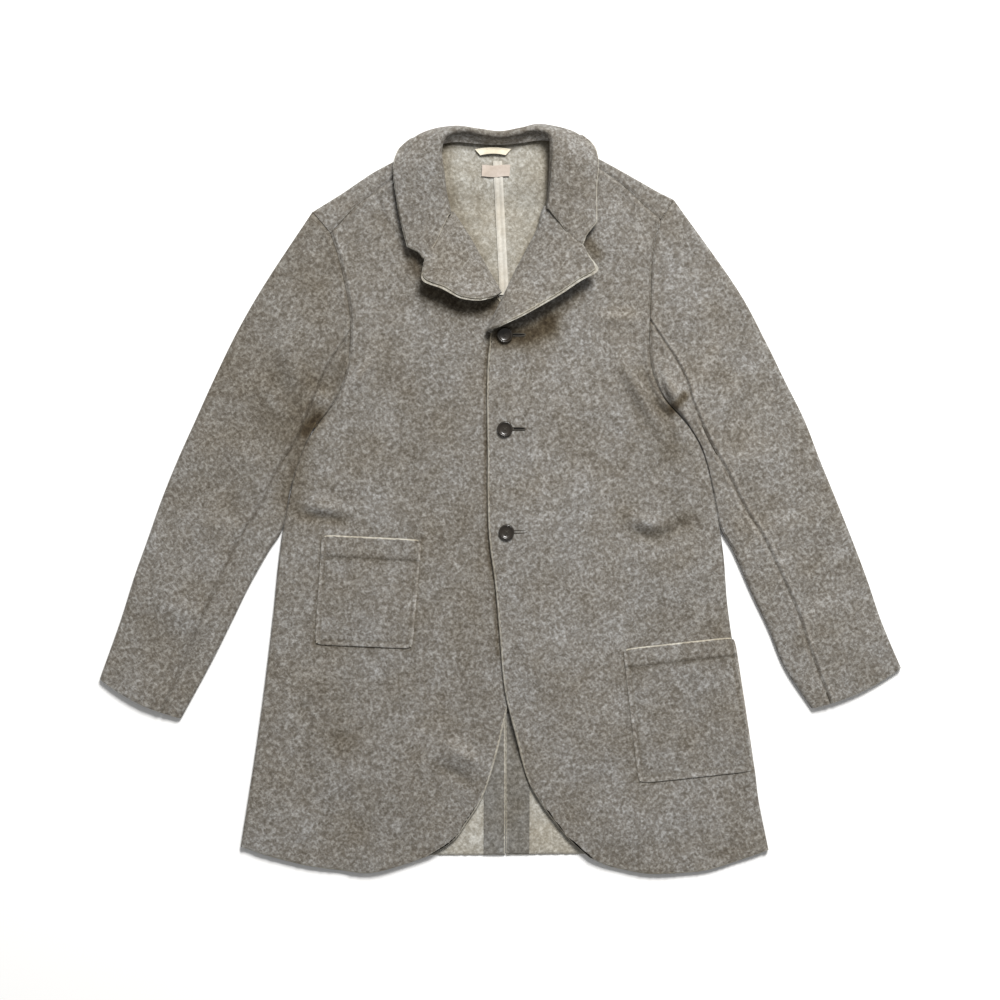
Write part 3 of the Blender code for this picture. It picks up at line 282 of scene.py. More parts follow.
def along(points, shares):
    """Return the places at the given shares of the length of the curve through the points."""
    path = dense_path(points)
    length = np.concatenate([[0.0], np.cumsum(np.linalg.norm(np.diff(path, axis=0), axis=1))])
    wanted = np.asarray(shares, dtype=float) * length[-1]
    return np.stack([np.interp(wanted, length, path[:, axis]) for axis in range(path.shape[1])], axis=-1)


def even_rows(outlines, stops, step):
    """Return real-valued row numbers from stop to stop, about a step apart on the longest outline."""
    rows = [np.array([float(stops[0])])]
    for start, end in zip(stops[:-1], stops[1:]):
        spans = [np.linalg.norm(np.diff(line[start:end + 1], axis=0), axis=1) for line in outlines]
        spans = max(spans, key=np.sum)
        travelled = np.concatenate([[0.0], np.cumsum(spans)])
        count = max(2, int(round(travelled[-1] / step)))
        wanted = np.linspace(0.0, travelled[-1], count + 1)[1:]
        rows.append(np.interp(wanted, travelled, np.arange(start, end + 1)))
    return np.concatenate(rows)


def edge_rich(count, near, ends=(True, True)):
    """Return shares from 0 to 1 with extra ones close to the chosen ends."""
    shares = np.linspace(0.0, 1.0, count + 1)
    extra = np.array([0.25, 0.6, 1.2, 2.0]) * near
    if ends[0]:
        shares = np.concatenate([shares, extra])
    if ends[1]:
        shares = np.concatenate([shares, 1.0 - extra])
    shares = np.unique(np.round(shares, 6))
    keep = np.concatenate([[True], np.diff(shares) > 0.12 * near])
    keep[-1] = True
    return shares[keep]


def waves(x, y, scale=1.0):
    """Return the sum of the sines in WAVES, each along its own direction."""
    total = np.zeros(np.shape(x))
    for length, angle, phase, height in WAVES:
        turn = math.radians(angle)
        run = (x * math.cos(turn) + y * math.sin(turn)) * 2.0 * math.pi / (length * scale)
        across = y * math.cos(turn) - x * math.sin(turn)
        bend = 0.9 * np.sin(across * 2.0 * math.pi / (length * scale * 1.7))
        total = total + height * np.sin(run + phase + bend)
    return total


def fold_relief(x, y):
    """Return the waves and the creases: bars h e^-(d/w)² (0.35 + 0.65 sin πs), d off a bar, s along it."""
    total = waves(x, y)
    for x0, y0, x1, y1, width, height in FOLDS:
        run = np.array([x1 - x0, y1 - y0], dtype=float)
        length = np.hypot(*run)
        share = np.clip(((x - x0) * run[0] + (y - y0) * run[1]) / length ** 2, 0.0, 1.0)
        away = np.hypot(x - x0 - share * run[0], y - y0 - share * run[1])
        bar = FOLD_GAIN * height * np.exp(-(away / width) ** 2)
        total = total + bar * (0.35 + 0.65 * np.sin(math.pi * share))
    return total


def neck_lift(x, y):
    """Return how far the tucked fall of the collar raises the back and what lies on it."""
    across = 1.0 - smooth_step(np.abs(x), 100.0, 150.0)
    return NECK_LIFT * across * smooth_step(y, 352.0, 392.0)


def shade_near(x, y, places):
    """Return the sum of s e^-(d/w)² over the shaded paths, d being the distance from the path."""
    total = np.zeros(np.shape(x))
    for path, width, strength in places:
        away = np.full(np.shape(x), 1e9)
        for (x0, y0), (x1, y1) in zip(path[:-1], path[1:]):
            share = ((x - x0) * (x1 - x0) + (y - y0) * (y1 - y0)) / ((x1 - x0) ** 2 + (y1 - y0) ** 2)
            share = np.clip(share, 0.0, 1.0)
            away = np.minimum(away, np.hypot(x - x0 - share * (x1 - x0), y - y0 - share * (y1 - y0)))
        total = total + strength * np.exp(-(away / width) ** 2)
    return total


RIGHT_LIMIT = dense_path(EDGE_RIGHT + [(-76, 352)])


def front_height(x, y, left):
    """Return the height of a front's outer face: its rest, the neck's lift and the left one's overlap."""
    height = FRONT_REST + neck_lift(x, y)
    if left:
        limit = np.interp(y, RIGHT_LIMIT[:, 1], RIGHT_LIMIT[:, 0])
        height = height + OVERLAP_LIFT * (1.0 - smooth_step(x - limit, 6.0, 42.0))
    return height


def edge_drop(distance):
    """Return the fall R - √(R² - (R - d)²) of a flat tube's face at the distance d from its fold."""
    inside = np.clip(EDGE_RADIUS - distance, 0.0, EDGE_RADIUS)
    return EDGE_RADIUS - np.sqrt(EDGE_RADIUS ** 2 - inside ** 2)


def patch(near, far, low, high, across, up):
    """Return near(1 - a) + far a, with the bulges of low and high faded by (1 - u)³ and u³."""
    between = near[:, None] * (1 - across[..., None]) + far[:, None] * across[..., None]
    low_bulge = low - (low[:, :1] * (1 - across[..., None]) + low[:, -1:] * across[..., None])
    high_bulge = high - (high[:, :1] * (1 - across[..., None]) + high[:, -1:] * across[..., None])
    up = up[:, None, None]
    return between + low_bulge * (1 - up) ** 3 + high_bulge * up ** 3


def quads_of(index):
    """Return the four corners of each cell of a grid of vertex numbers."""
    return np.stack([index[:-1, :-1], index[:-1, 1:], index[1:, 1:], index[1:, :-1]], axis=-1).reshape(-1, 4)


def turned_over(quads):
    """Return the cells facing the other way."""
    return quads[:, [0, 3, 2, 1]]


def unit(vectors):
    """Return the vectors at length 1, v / |v|."""
    length = np.linalg.norm(vectors, axis=-1, keepdims=True)
    return vectors / np.where(length > 1e-9, length, 1.0)


def point_normals(points, quads):
    """Return the unit normal at each point, the mean of the cross products of the diagonals around it."""
    corner = points[quads]
    face = np.cross(corner[:, 2] - corner[:, 0], corner[:, 3] - corner[:, 1])
    total = np.zeros_like(points)
    for column in range(4):
        np.add.at(total, quads[:, column], face)
    return unit(total)


def free_edges(quads, count):
    """Return the edges that only one cell has, as start and end in the cell's own order."""
    start = quads.ravel()
    end = quads[:, [1, 2, 3, 0]].ravel()
    key = start.astype(np.int64) * count + end
    other = end.astype(np.int64) * count + start
    free = ~np.isin(other, key)
    return np.stack([start[free], end[free]], axis=-1)


def fill_mesh(name, points, groups, materials):
    """Make an object from the points in millimetres and groups of cells, each with its material's number."""
    mesh = bpy.data.meshes.new(name)
    placed = (np.asarray(points, dtype=float) - OUTLINE_MIDDLE) * MILLIMETRE
    mesh.vertices.add(len(placed))
    mesh.vertices.foreach_set("co", placed.ravel())
    corners = np.concatenate([cells.ravel() for cells, _ in groups])
    sizes = np.concatenate([np.full(len(cells), cells.shape[1]) for cells, _ in groups])
    numbers = np.concatenate([np.full(len(cells), number) for cells, number in groups])
    mesh.loops.add(len(corners))
    mesh.loops.foreach_set("vertex_index", corners.astype(np.int32))
    mesh.polygons.add(len(sizes))
    starts = np.concatenate([[0], np.cumsum(sizes)[:-1]])
    mesh.polygons.foreach_set("loop_start", starts.astype(np.int32))
    for material in materials:
        mesh.materials.append(bpy.data.materials[material])
    mesh.polygons.foreach_set("material_index", numbers.astype(np.int32))
    mesh.update(calc_edges=True)
    mesh.validate()
    mesh.shade_smooth()
    mesh.set_sharp_from_angle(angle=math.radians(SHARP_ANGLE))
    item = bpy.data.objects.new(name, mesh)
    bpy.context.scene.collection.objects.link(item)
    return item


def wall(name, points, normals, quads, outer, inner, materials, raw=None, pull=1.4, inner_pull=0.0,
         tone=None):
    """Make a wall of cloth between the offsets outer and inner of a face, p + n t.

    Its rim has a middle ring, and where raw is set, the outer layer's edge is drawn in by pull and the inner
    layer's by inner_pull, so that the cut edge slopes and shows its light fibres. The tone of each point goes
    into the mesh as an attribute that the wool's colour is multiplied by; it carries the painted shade and
    painted highlights of the pieces.
    """
    tone = np.ones(len(points)) if tone is None else tone
    used = np.unique(quads)
    lookup = np.full(len(points), -1)
    lookup[used] = np.arange(len(used))
    quads = lookup[quads]
    points = points[used]
    normals = normals[used]
    count = len(used)
    raw = np.zeros(count) if raw is None else np.asarray(raw, dtype=float)[used]
    edges = free_edges(quads, count)
    run = points[edges[:, 1]] - points[edges[:, 0]]
    tangent = np.zeros_like(points)
    np.add.at(tangent, edges[:, 0], run)
    np.add.at(tangent, edges[:, 1], run)
    outward = unit(np.cross(unit(tangent), normals))
    uneven = 1.0 + 0.30 * np.sin(points[:, 0] * 0.61 + points[:, 1] * 0.83) \
        + 0.22 * np.sin(points[:, 0] * 1.9 - points[:, 1] * 1.37)
    inward = -outward * (raw * uneven)[:, None]
    top = points + normals * outer + inward * pull
    bottom = points + normals * inner + inward * inner_pull
    middle_shift = 0.5 * (inward * pull + inward * inner_pull) + outward * (0.35 * raw)[:, None]
    middle = points + normals * (0.5 * (outer + inner)) + middle_shift
    ring = np.unique(edges)
    place = np.full(count, -1)
    place[ring] = np.arange(len(ring)) + 2 * count
    start, end = edges[:, 0], edges[:, 1]
    upper = np.stack([end, start, place[start], place[end]], axis=-1)
    lower = np.stack([place[end], place[start], start + count, end + count], axis=-1)
    rim = np.vstack([upper, lower])
    raw_rim = np.tile(raw[start] + raw[end] > 0.5, 2)
    groups = [(quads, 0), (turned_over(quads) + count, 1), (rim[raw_rim], 2), (rim[~raw_rim], 0)]
    groups = [(cells, number) for cells, number in groups if len(cells)]
    item = fill_mesh(name + "_cloth", np.vstack([top, bottom, middle[ring]]), groups, materials)
    tone = np.clip(tone[used], *TONE_RANGE)
    shade = item.data.attributes.new("tone", "FLOAT", "POINT")
    shade.data.foreach_set("value", np.concatenate([tone, tone, tone[ring]]).astype(np.float32))
    corner = points[quads]
    crossed = np.cross(corner[:, 2] - corner[:, 0], corner[:, 3] - corner[:, 1])
    item["cut_area"] = float((0.5 * np.linalg.norm(crossed, axis=1)).sum()) * MILLIMETRE ** 2
    return item


def lay(item, node):
    """Tie a cloth piece to the body's root and hide the part of its node."""
    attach(item, "root")
    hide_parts(node)


def set_piece(item, node=None):
    """Tie a hard or sewn-on piece to the body, and hide its node's part where it stands for one."""
    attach(item, "root")
    if node:
        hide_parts(node)


def near_outline(side, armhole):
    """Return the outer outline of a body panel: the side seam, then the armhole to the shoulder seam."""
    lower = along(side, [row[0] for row in LEVELS])
    upper = along(armhole, np.linspace(0.0, 1.0, ARMHOLE_CELLS + 1))
    return np.vstack([lower, upper[1:]])


def side_steps(count=7):
    """Return the distances R(1 - cos a) from the side of the steps of its rounded edge."""
    return EDGE_RADIUS * (1.0 - np.cos(np.linspace(0.0, 0.5 * math.pi, count)))


def column_shares(width, shares, row):
    """Return the shares of each row's width: the rounded edge's own steps, then the panel's."""
    edge = side_steps()[None, :]
    rest = edge[:, -1:] + (width[:, None] - edge[:, -1:]) * shares[None, 1:]
    return np.hstack([np.repeat(edge, len(row), axis=0), rest]) / width[:, None]


WOOL = ["felt_outer", "felt_inner", "felt_cut"]
TURNED_WOOL = ["felt_inner", "felt_outer", "felt_cut"]


def front_face(left, cell):
    """Return a front with its lapel: points, raw edge mask, both grids of numbers, columns and tone, the tone
    holding painted shade and painted highlights.
    """
    near_rows = near_outline(SIDE_LEFT if left else SIDE_RIGHT, ARMHOLE_LEFT if left else ARMHOLE_RIGHT)
    lower = along(EDGE_LEFT if left else EDGE_RIGHT, [row[1] for row in LEVELS] + UPPER_EDGE_SHARES)
    roll = along(ROLL_LEFT if left else ROLL_RIGHT,
                 np.linspace(0.0, 1.0, ROLL_HEAD_LEVEL - ROLL_FOOT_LEVEL + 1))
    upper = along(NECK_LEFT if left else NECK_RIGHT,
                  np.linspace(0.0, 1.0, FRONT_TOP_LEVEL - ROLL_HEAD_LEVEL + 1))
    far_rows = np.vstack([lower, roll[1:], upper[1:]])
    stops = [0, ARMPIT_LEVEL, ROLL_FOOT_LEVEL, ROLL_HEAD_LEVEL, FRONT_TOP_LEVEL]
    row = even_rows([near_rows, far_rows], stops, cell)
    near = spline_at(near_rows, row)
    far = spline_at(far_rows, row)
    width = np.linalg.norm(far - near, axis=1)
    shares = np.linspace(0.0, 1.0, int(310.0 / cell) + 1)
    steps = column_shares(width, shares, row)
    low = along(HEM_LEFT if left else HEM_RIGHT, steps)
    high = along(SHOULDER_SEAM_LEFT if left else SHOULDER_SEAM_RIGHT, steps)
    plan = patch(near, far, low, high, steps, row / FRONT_TOP_LEVEL)
    x, y = plan[..., 0], plan[..., 1]
    distance = np.hypot(x - x[:, :1], y - y[:, :1])
    folded = 1.0 - smooth_step(row, ARMPIT_LEVEL, ARMPIT_LEVEL + 0.6)[:, None]
    inner = np.hypot(x - far[:, :1], y - far[:, 1:])
    fade = np.clip(distance / 22.0, 0.0, 1.0) * smooth_step(inner, 8.0, 40.0)
    column = np.concatenate([np.zeros(len(side_steps())), shares[1:]])
    z = front_height(x, y, left) + FACING_RISE * smooth_step(column, *FACING_LEVELS[left])
    z = z + fold_relief(x, y) * fade - edge_drop(distance) * folded
    ridge = 1.6 * np.exp(-((distance - 5.0) / 2.8) ** 2) - 0.8 * np.exp(-(distance / 2.4) ** 2)
    z = z + ridge * (1.0 - folded)
    top_gap = np.hypot(x - x[-1:], y - y[-1:])
    z = z - 1.8 * np.exp(-(top_gap / 2.4) ** 2) + 1.2 * np.exp(-((top_gap - 5.0) / 2.8) ** 2)
    main = np.stack([x, y, z], axis=-1)

    in_roll = (row >= ROLL_FOOT_LEVEL) & (row <= ROLL_HEAD_LEVEL)
    station = (row[in_roll] - ROLL_FOOT_LEVEL) / (ROLL_HEAD_LEVEL - ROLL_FOOT_LEVEL)
    line = far[in_roll]
    edge_at = np.interp(station, np.linspace(0.0, 1.0, len(LAPEL_STATIONS)), LAPEL_STATIONS)
    free = along(LAPEL_LEFT if left else LAPEL_RIGHT, edge_at)
    angle = np.radians(np.interp(station, *LAPEL_TURN))[:, None]
    lift = np.interp(station, *LAPEL_LIFT) + 0.8 * np.sin(station * 9.0 + (1.0 if left else 2.2))
    run = unit(line[-1] - line[0])
    outward = np.array([run[1], -run[0]]) * (-1.0 if left else 1.0)
    height = z[in_roll, -1]
    turn = np.linspace(0.0, 1.0, 10)[None, 1:] * angle
    arc = np.stack([line[:, :1] + ROLL_RADIUS * outward[0] * np.sin(turn),
                    line[:, 1:] + ROLL_RADIUS * outward[1] * np.sin(turn),
                    height[:, None] + ROLL_RADIUS * (1.0 - np.cos(turn))], axis=-1)
    start = arc[:, -1]
    goal = np.stack([free[:, 0], free[:, 1], height + lift], axis=-1)
    reach = np.linalg.norm(goal - start, axis=1, keepdims=True)
    lean = np.hstack([outward[0] * np.cos(angle), outward[1] * np.cos(angle), np.sin(angle)])
    aim = start + 0.45 * reach * lean
    straight = (0.5 + 0.5 * station ** 3)[:, None]
    level = 0.5 * (start + goal) + np.stack([0.0 * lift, 0.0 * lift, 0.25 * lift], axis=-1)
    aim = (1.0 - straight) * aim + straight * level
    share = np.linspace(0.0, 1.0, int(76.0 / cell) + 1)[1:][None, :, None]
    flat = (start[:, None] * (1 - share) ** 2 + 2 * aim[:, None] * share * (1 - share)
            + goal[:, None] * share ** 2)
    flat[..., 2] += 0.45 * share[..., 0] * waves(flat[..., 0], flat[..., 1], 0.5)
    block = np.concatenate([arc, flat], axis=1)

    rows, columns = x.shape
    index = np.arange(rows * columns).reshape(rows, columns)
    lapel = rows * columns + np.arange(block.shape[0] * block.shape[1]).reshape(block.shape[:2])
    lapel = np.hstack([index[in_roll, -1:], lapel])
    points = np.vstack([main.reshape(-1, 3), block.reshape(-1, 3)])
    raw = np.zeros(len(points))
    raw[index[0, len(side_steps()):]] = 1.0
    raw[index[row <= ROLL_FOOT_LEVEL, -1]] = 1.0
    raw[lapel[:, -1]] = 1.0
    tone = np.ones(len(points))
    # Painted shade and light in the front's tone: the right front painted darker than the left, the creases'
    # troughs darker and ridges lighter, painted shade in the grooves at the side and shoulder seams, and the
    # painted shadows of FRONT_SHADE and CREASE_SHADE
    body = (1.02 if left else 0.97) + 0.035 * np.clip(fold_relief(x, y) * fade, -4.0, 4.0)
    body = (body - 0.12 * np.exp(-(distance / 2.6) ** 2) * (1.0 - folded)
            - 0.14 * np.exp(-(top_gap / 2.6) ** 2))
    tone[index] = body - shade_near(x, y, FRONT_SHADE[left] + CREASE_SHADE)
    return points, raw, index, lapel, column, tone


def build_front(left, settings):
    """Make a front with its lapel and the facing that lies under it and shows on the lapel."""
    name = SIDE_NAMES[left]
    points, raw, index, lapel, column, tone = front_face(left, settings.cell / MILLIMETRE)
    cloth = settings.cloth / MILLIMETRE
    quads = np.vstack([quads_of(index), quads_of(lapel)])
    if left:
        quads = turned_over(quads)
    normals = point_normals(points, quads)
    side = index[points[index[:, 0], 2] < FRONT_REST, 0]
    normals[side, 2] = 0.0
    normals = unit(normals)
    front = wall("front_" + name, points, normals, quads, 0.0, -cloth, WOOL, raw, 2.1, 0.0, tone)
    lay(front, "front_" + name)
    start = int(np.argmax(column >= FACING_START))
    foot = int(np.argmax(index[:, -1] == lapel[0, 0]))
    facing = np.vstack([quads_of(index[1:, start:-1]), quads_of(index[foot:, -2:]), quads_of(lapel[:, :-1])])
    if left:
        facing = turned_over(facing)
    facing_raw = np.zeros(len(points))
    facing_raw[index[:foot, -2]] = 1.0
    facing_raw[index[1, start:]] = 1.0
    facing_raw[index[:, start]] = 1.0
    facing_raw[lapel[:, -2]] = 1.0
    below = cloth + 1.5 * SEAM_GAP
    item = wall("facing_" + name, points, normals, facing, -below, -below - cloth, TURNED_WOOL, facing_raw,
                0.2, 1.2, 0.98 * np.ones(len(points)))
    lay(item, "facing_" + name)


def build_back(left, settings):
    """Make one half of the back with the strip that laps forward over the shoulder to the seam."""
    name = SIDE_NAMES[left]
    cell = 1.35 * settings.cell / MILLIMETRE
    cloth = settings.cloth / MILLIMETRE
    fold = SHOULDER_FOLD_LEFT if left else SHOULDER_FOLD_RIGHT
    neck = NECK_BACK_LEFT if left else NECK_BACK_RIGHT
    hem = HEM_BACK_LEFT if left else HEM_BACK_RIGHT
    near_rows = near_outline(SIDE_LEFT if left else SIDE_RIGHT, ARMHOLE_LEFT if left else ARMHOLE_RIGHT)
    near_rows = np.vstack([near_rows, [fold[0]]])
    centre_low = np.array(hem[-1], dtype=float)
    centre_high = np.array(neck[-1], dtype=float)
    below = (near_rows[:ARMPIT_LEVEL, 1] - near_rows[0, 1]) / (near_rows[ARMPIT_LEVEL, 1] - near_rows[0, 1])
    centre_y = np.concatenate([centre_low[1] + (CENTRE_LEVELS[0] - centre_low[1]) * below, CENTRE_LEVELS])
    share = (centre_y - centre_low[1]) / (centre_high[1] - centre_low[1])
    far_rows = centre_low + (centre_high - centre_low) * share[:, None]
    row = even_rows([near_rows, far_rows], [0, ARMPIT_LEVEL, BACK_TOP_LEVEL - 1, BACK_TOP_LEVEL], cell)
    near = spline_at(near_rows, row)
    far = spline_at(far_rows, row)
    width = np.linalg.norm(far - near, axis=1)
    strip_share = BACK_COLUMNS[SHOULDER_COLUMNS - 2]
    shares = np.concatenate([np.linspace(0.0, strip_share, int(140.0 / cell) + 1),
                             np.linspace(strip_share, 1.0, int(100.0 / cell) + 1)[1:]])
    steps = column_shares(width, shares, row)
    coarse = np.concatenate([side_steps(3), side_steps(3)[-1] + (width[-1] - side_steps(3)[-1])
                             * np.array(BACK_COLUMNS[1:])]) / width[-1]
    fold_shares = np.linspace(0.0, 1.0, SHOULDER_COLUMNS + 1)
    neck_cells = len(coarse) - 1 - SHOULDER_COLUMNS
    top_rows = np.vstack([along(fold, fold_shares), along(neck, np.linspace(0.0, 1.0, neck_cells + 1)[1:])])
    place = np.interp(steps[-1], coarse, np.arange(len(coarse)))
    high = np.repeat(spline_at(top_rows, place)[None], len(row), axis=0)
    plan = patch(near, far, along(hem, steps), high, steps, row / BACK_TOP_LEVEL)
    x, y = plan[..., 0], plan[..., 1]
    distance = np.hypot(x - x[:, :1], y - y[:, :1])
    folded = 1.0 - smooth_step(row, ARMPIT_LEVEL, ARMPIT_LEVEL + 0.6)[:, None]
    z = neck_lift(x, y) + edge_drop(distance) * folded
    main = np.stack([x, y, z], axis=-1)

    last = int(np.argmin(np.abs(place - SHOULDER_COLUMNS)))
    fold_share = np.clip(place[:last + 1] / SHOULDER_COLUMNS, 0.0, 1.0)
    seam = along(SHOULDER_SEAM_LEFT if left else SHOULDER_SEAM_RIGHT, fold_share)
    fold_points = main[-1, :last + 1].copy()
    inward = unit(seam - fold_points[:, :2])
    turn = np.linspace(-0.5 * math.pi, 0.5 * math.pi, ARC_STEPS)[1:, None]
    arc = np.concatenate([
        fold_points[None, :, :2] + inward[None] * (EDGE_RADIUS * (1.0 - np.cos(turn)))[..., None],
        (fold_points[None, :, 2] + EDGE_RADIUS * (1.0 + np.sin(turn)))[..., None]], axis=-1)
    end_height = front_height(seam[:, 0], seam[:, 1], left)[:, None]
    end = np.concatenate([seam - inward * SEAM_GAP, end_height], axis=-1)
    reach = edge_rich(9, 0.06, (False, True))[1:, None, None]
    flat = arc[-1][None] * (1.0 - reach) + end[None] * reach
    flat[..., 2] += 0.5 * np.sin(math.pi * reach[..., 0]) * waves(flat[..., 0], flat[..., 1], 0.5)
    flat[..., 2] -= 1.1 * np.exp(-(np.hypot(*(np.moveaxis(flat - end[None], -1, 0)[:2])) / 2.4) ** 2)
    strip = np.concatenate([arc, flat])
    rise = smooth_step(row, BACK_TOP_LEVEL - 1, BACK_TOP_LEVEL)[:, None, None]
    main[:, :last + 1, :2] += inward[None] * EDGE_RADIUS * rise

    rows, columns = x.shape
    index = np.arange(rows * columns).reshape(rows, columns)
    extra = rows * columns + np.arange(strip.shape[0] * strip.shape[1]).reshape(strip.shape[:2])
    extra = np.vstack([index[-1:, :last + 1], extra])
    points = np.vstack([main.reshape(-1, 3), strip.reshape(-1, 3)])
    quads = np.vstack([quads_of(index), quads_of(extra)])
    if not left:
        quads = turned_over(quads)
    normals = point_normals(points, quads)
    side = index[row < ARMPIT_LEVEL + 0.3, 0]
    normals[side, 2] = 0.0
    normals = unit(normals)
    raw = np.zeros(len(points))
    raw[index[0, len(side_steps()):]] = 1.0
    tone = np.ones(len(points))
    # The back's tone holds the painted shade of NECK_SHADE along the collar's rolls and the neck seam, and
    # grows lighter towards the hem
    tone[index] = 1.0 - shade_near(x, y, NECK_SHADE) + 0.12 * (1.0 - smooth_step(y, -250.0, 200.0))
    item = wall("back_" + name, points, normals, quads, 0.0, -cloth, WOOL, raw, 0.3, 1.2, tone)
    lay(item, "back_" + name)


def sleeve_plan(left, row, shares):
    """Return the plan of a flat sleeve at sections row and shares across, outer edge to inner."""
    table = spline_at(SLEEVE_LEFT if left else SLEEVE_RIGHT, row)
    outer, inner = table[:, :2], table[:, 2:]
    fold = np.array((SHOULDER_FOLD_LEFT if left else SHOULDER_FOLD_RIGHT)[0], dtype=float)
    armhole = ARMHOLE_LEFT if left else ARMHOLE_RIGHT
    down_share = np.clip((shares - SHOULDER_STRIP_SHARE) / (1.0 - SHOULDER_STRIP_SHARE), 0.0, 1.0)
    on_armhole = along(armhole, 1.0 - down_share)
    on_strip = np.clip(shares / SHOULDER_STRIP_SHARE, 0.0, 1.0)[..., None]
    station = fold * (1.0 - on_strip) + on_armhole * on_strip
    first = np.array((SLEEVE_LEFT if left else SLEEVE_RIGHT)[0], dtype=float)
    chord = first[:2] * (1.0 - shares[..., None]) + first[2:] * shares[..., None]
    travelled = (row / (len(SLEEVE_RIGHT) - 1.0))[:, None, None]
    line = outer[:, None] * (1.0 - shares[..., None]) + inner[:, None] * shares[..., None]
    axis = unit(inner - outer)
    down = np.stack([axis[:, 1], -axis[:, 0]], axis=-1)
    down = down * np.where(down[:, 1:] > 0.0, -1.0, 1.0)
    bulge = CUFF_BULGE * np.sin(math.pi * shares)[..., None]
    plan = line + (station - chord) * (1.0 - travelled) ** 2 + down[:, None] * bulge * travelled ** 6
    plan[..., 0] += (1.0 if left else -1.0) * SLEEVE_GAP
    return plan


def sleeve_height(plan, row, shares, seam):
    """Return a sleeve top's height: its rest, the creases, a soft fullness and its seams' grooves."""
    travelled = (row / (len(SLEEVE_RIGHT) - 1.0))[:, None]
    fade = np.clip(shares * 9.0, 0.0, 1.0) * np.clip((1.0 - shares) * 9.0, 0.0, 1.0)
    start = smooth_step(travelled, 0.0, 0.07)
    x, y = plan[..., 0], plan[..., 1]
    height = 2.0 * EDGE_RADIUS + fold_relief(x, y) * fade * start
    height = height + 2.0 * np.sin(math.pi * shares) ** 0.8 * smooth_step(travelled, 0.05, 0.4)
    to_armhole = np.hypot(x - x[:1], y - y[:1])
    height = height - 0.9 * np.exp(-(to_armhole / 2.6) ** 2) + 0.9 * np.exp(-((to_armhole - 7.0) / 3.5) ** 2)
    away = np.hypot(*np.moveaxis(plan - seam[:, None], -1, 0))
    return height - 1.3 * np.exp(-(away / 2.0) ** 2) + 1.0 * np.exp(-((away - 4.5) / 2.4) ** 2)


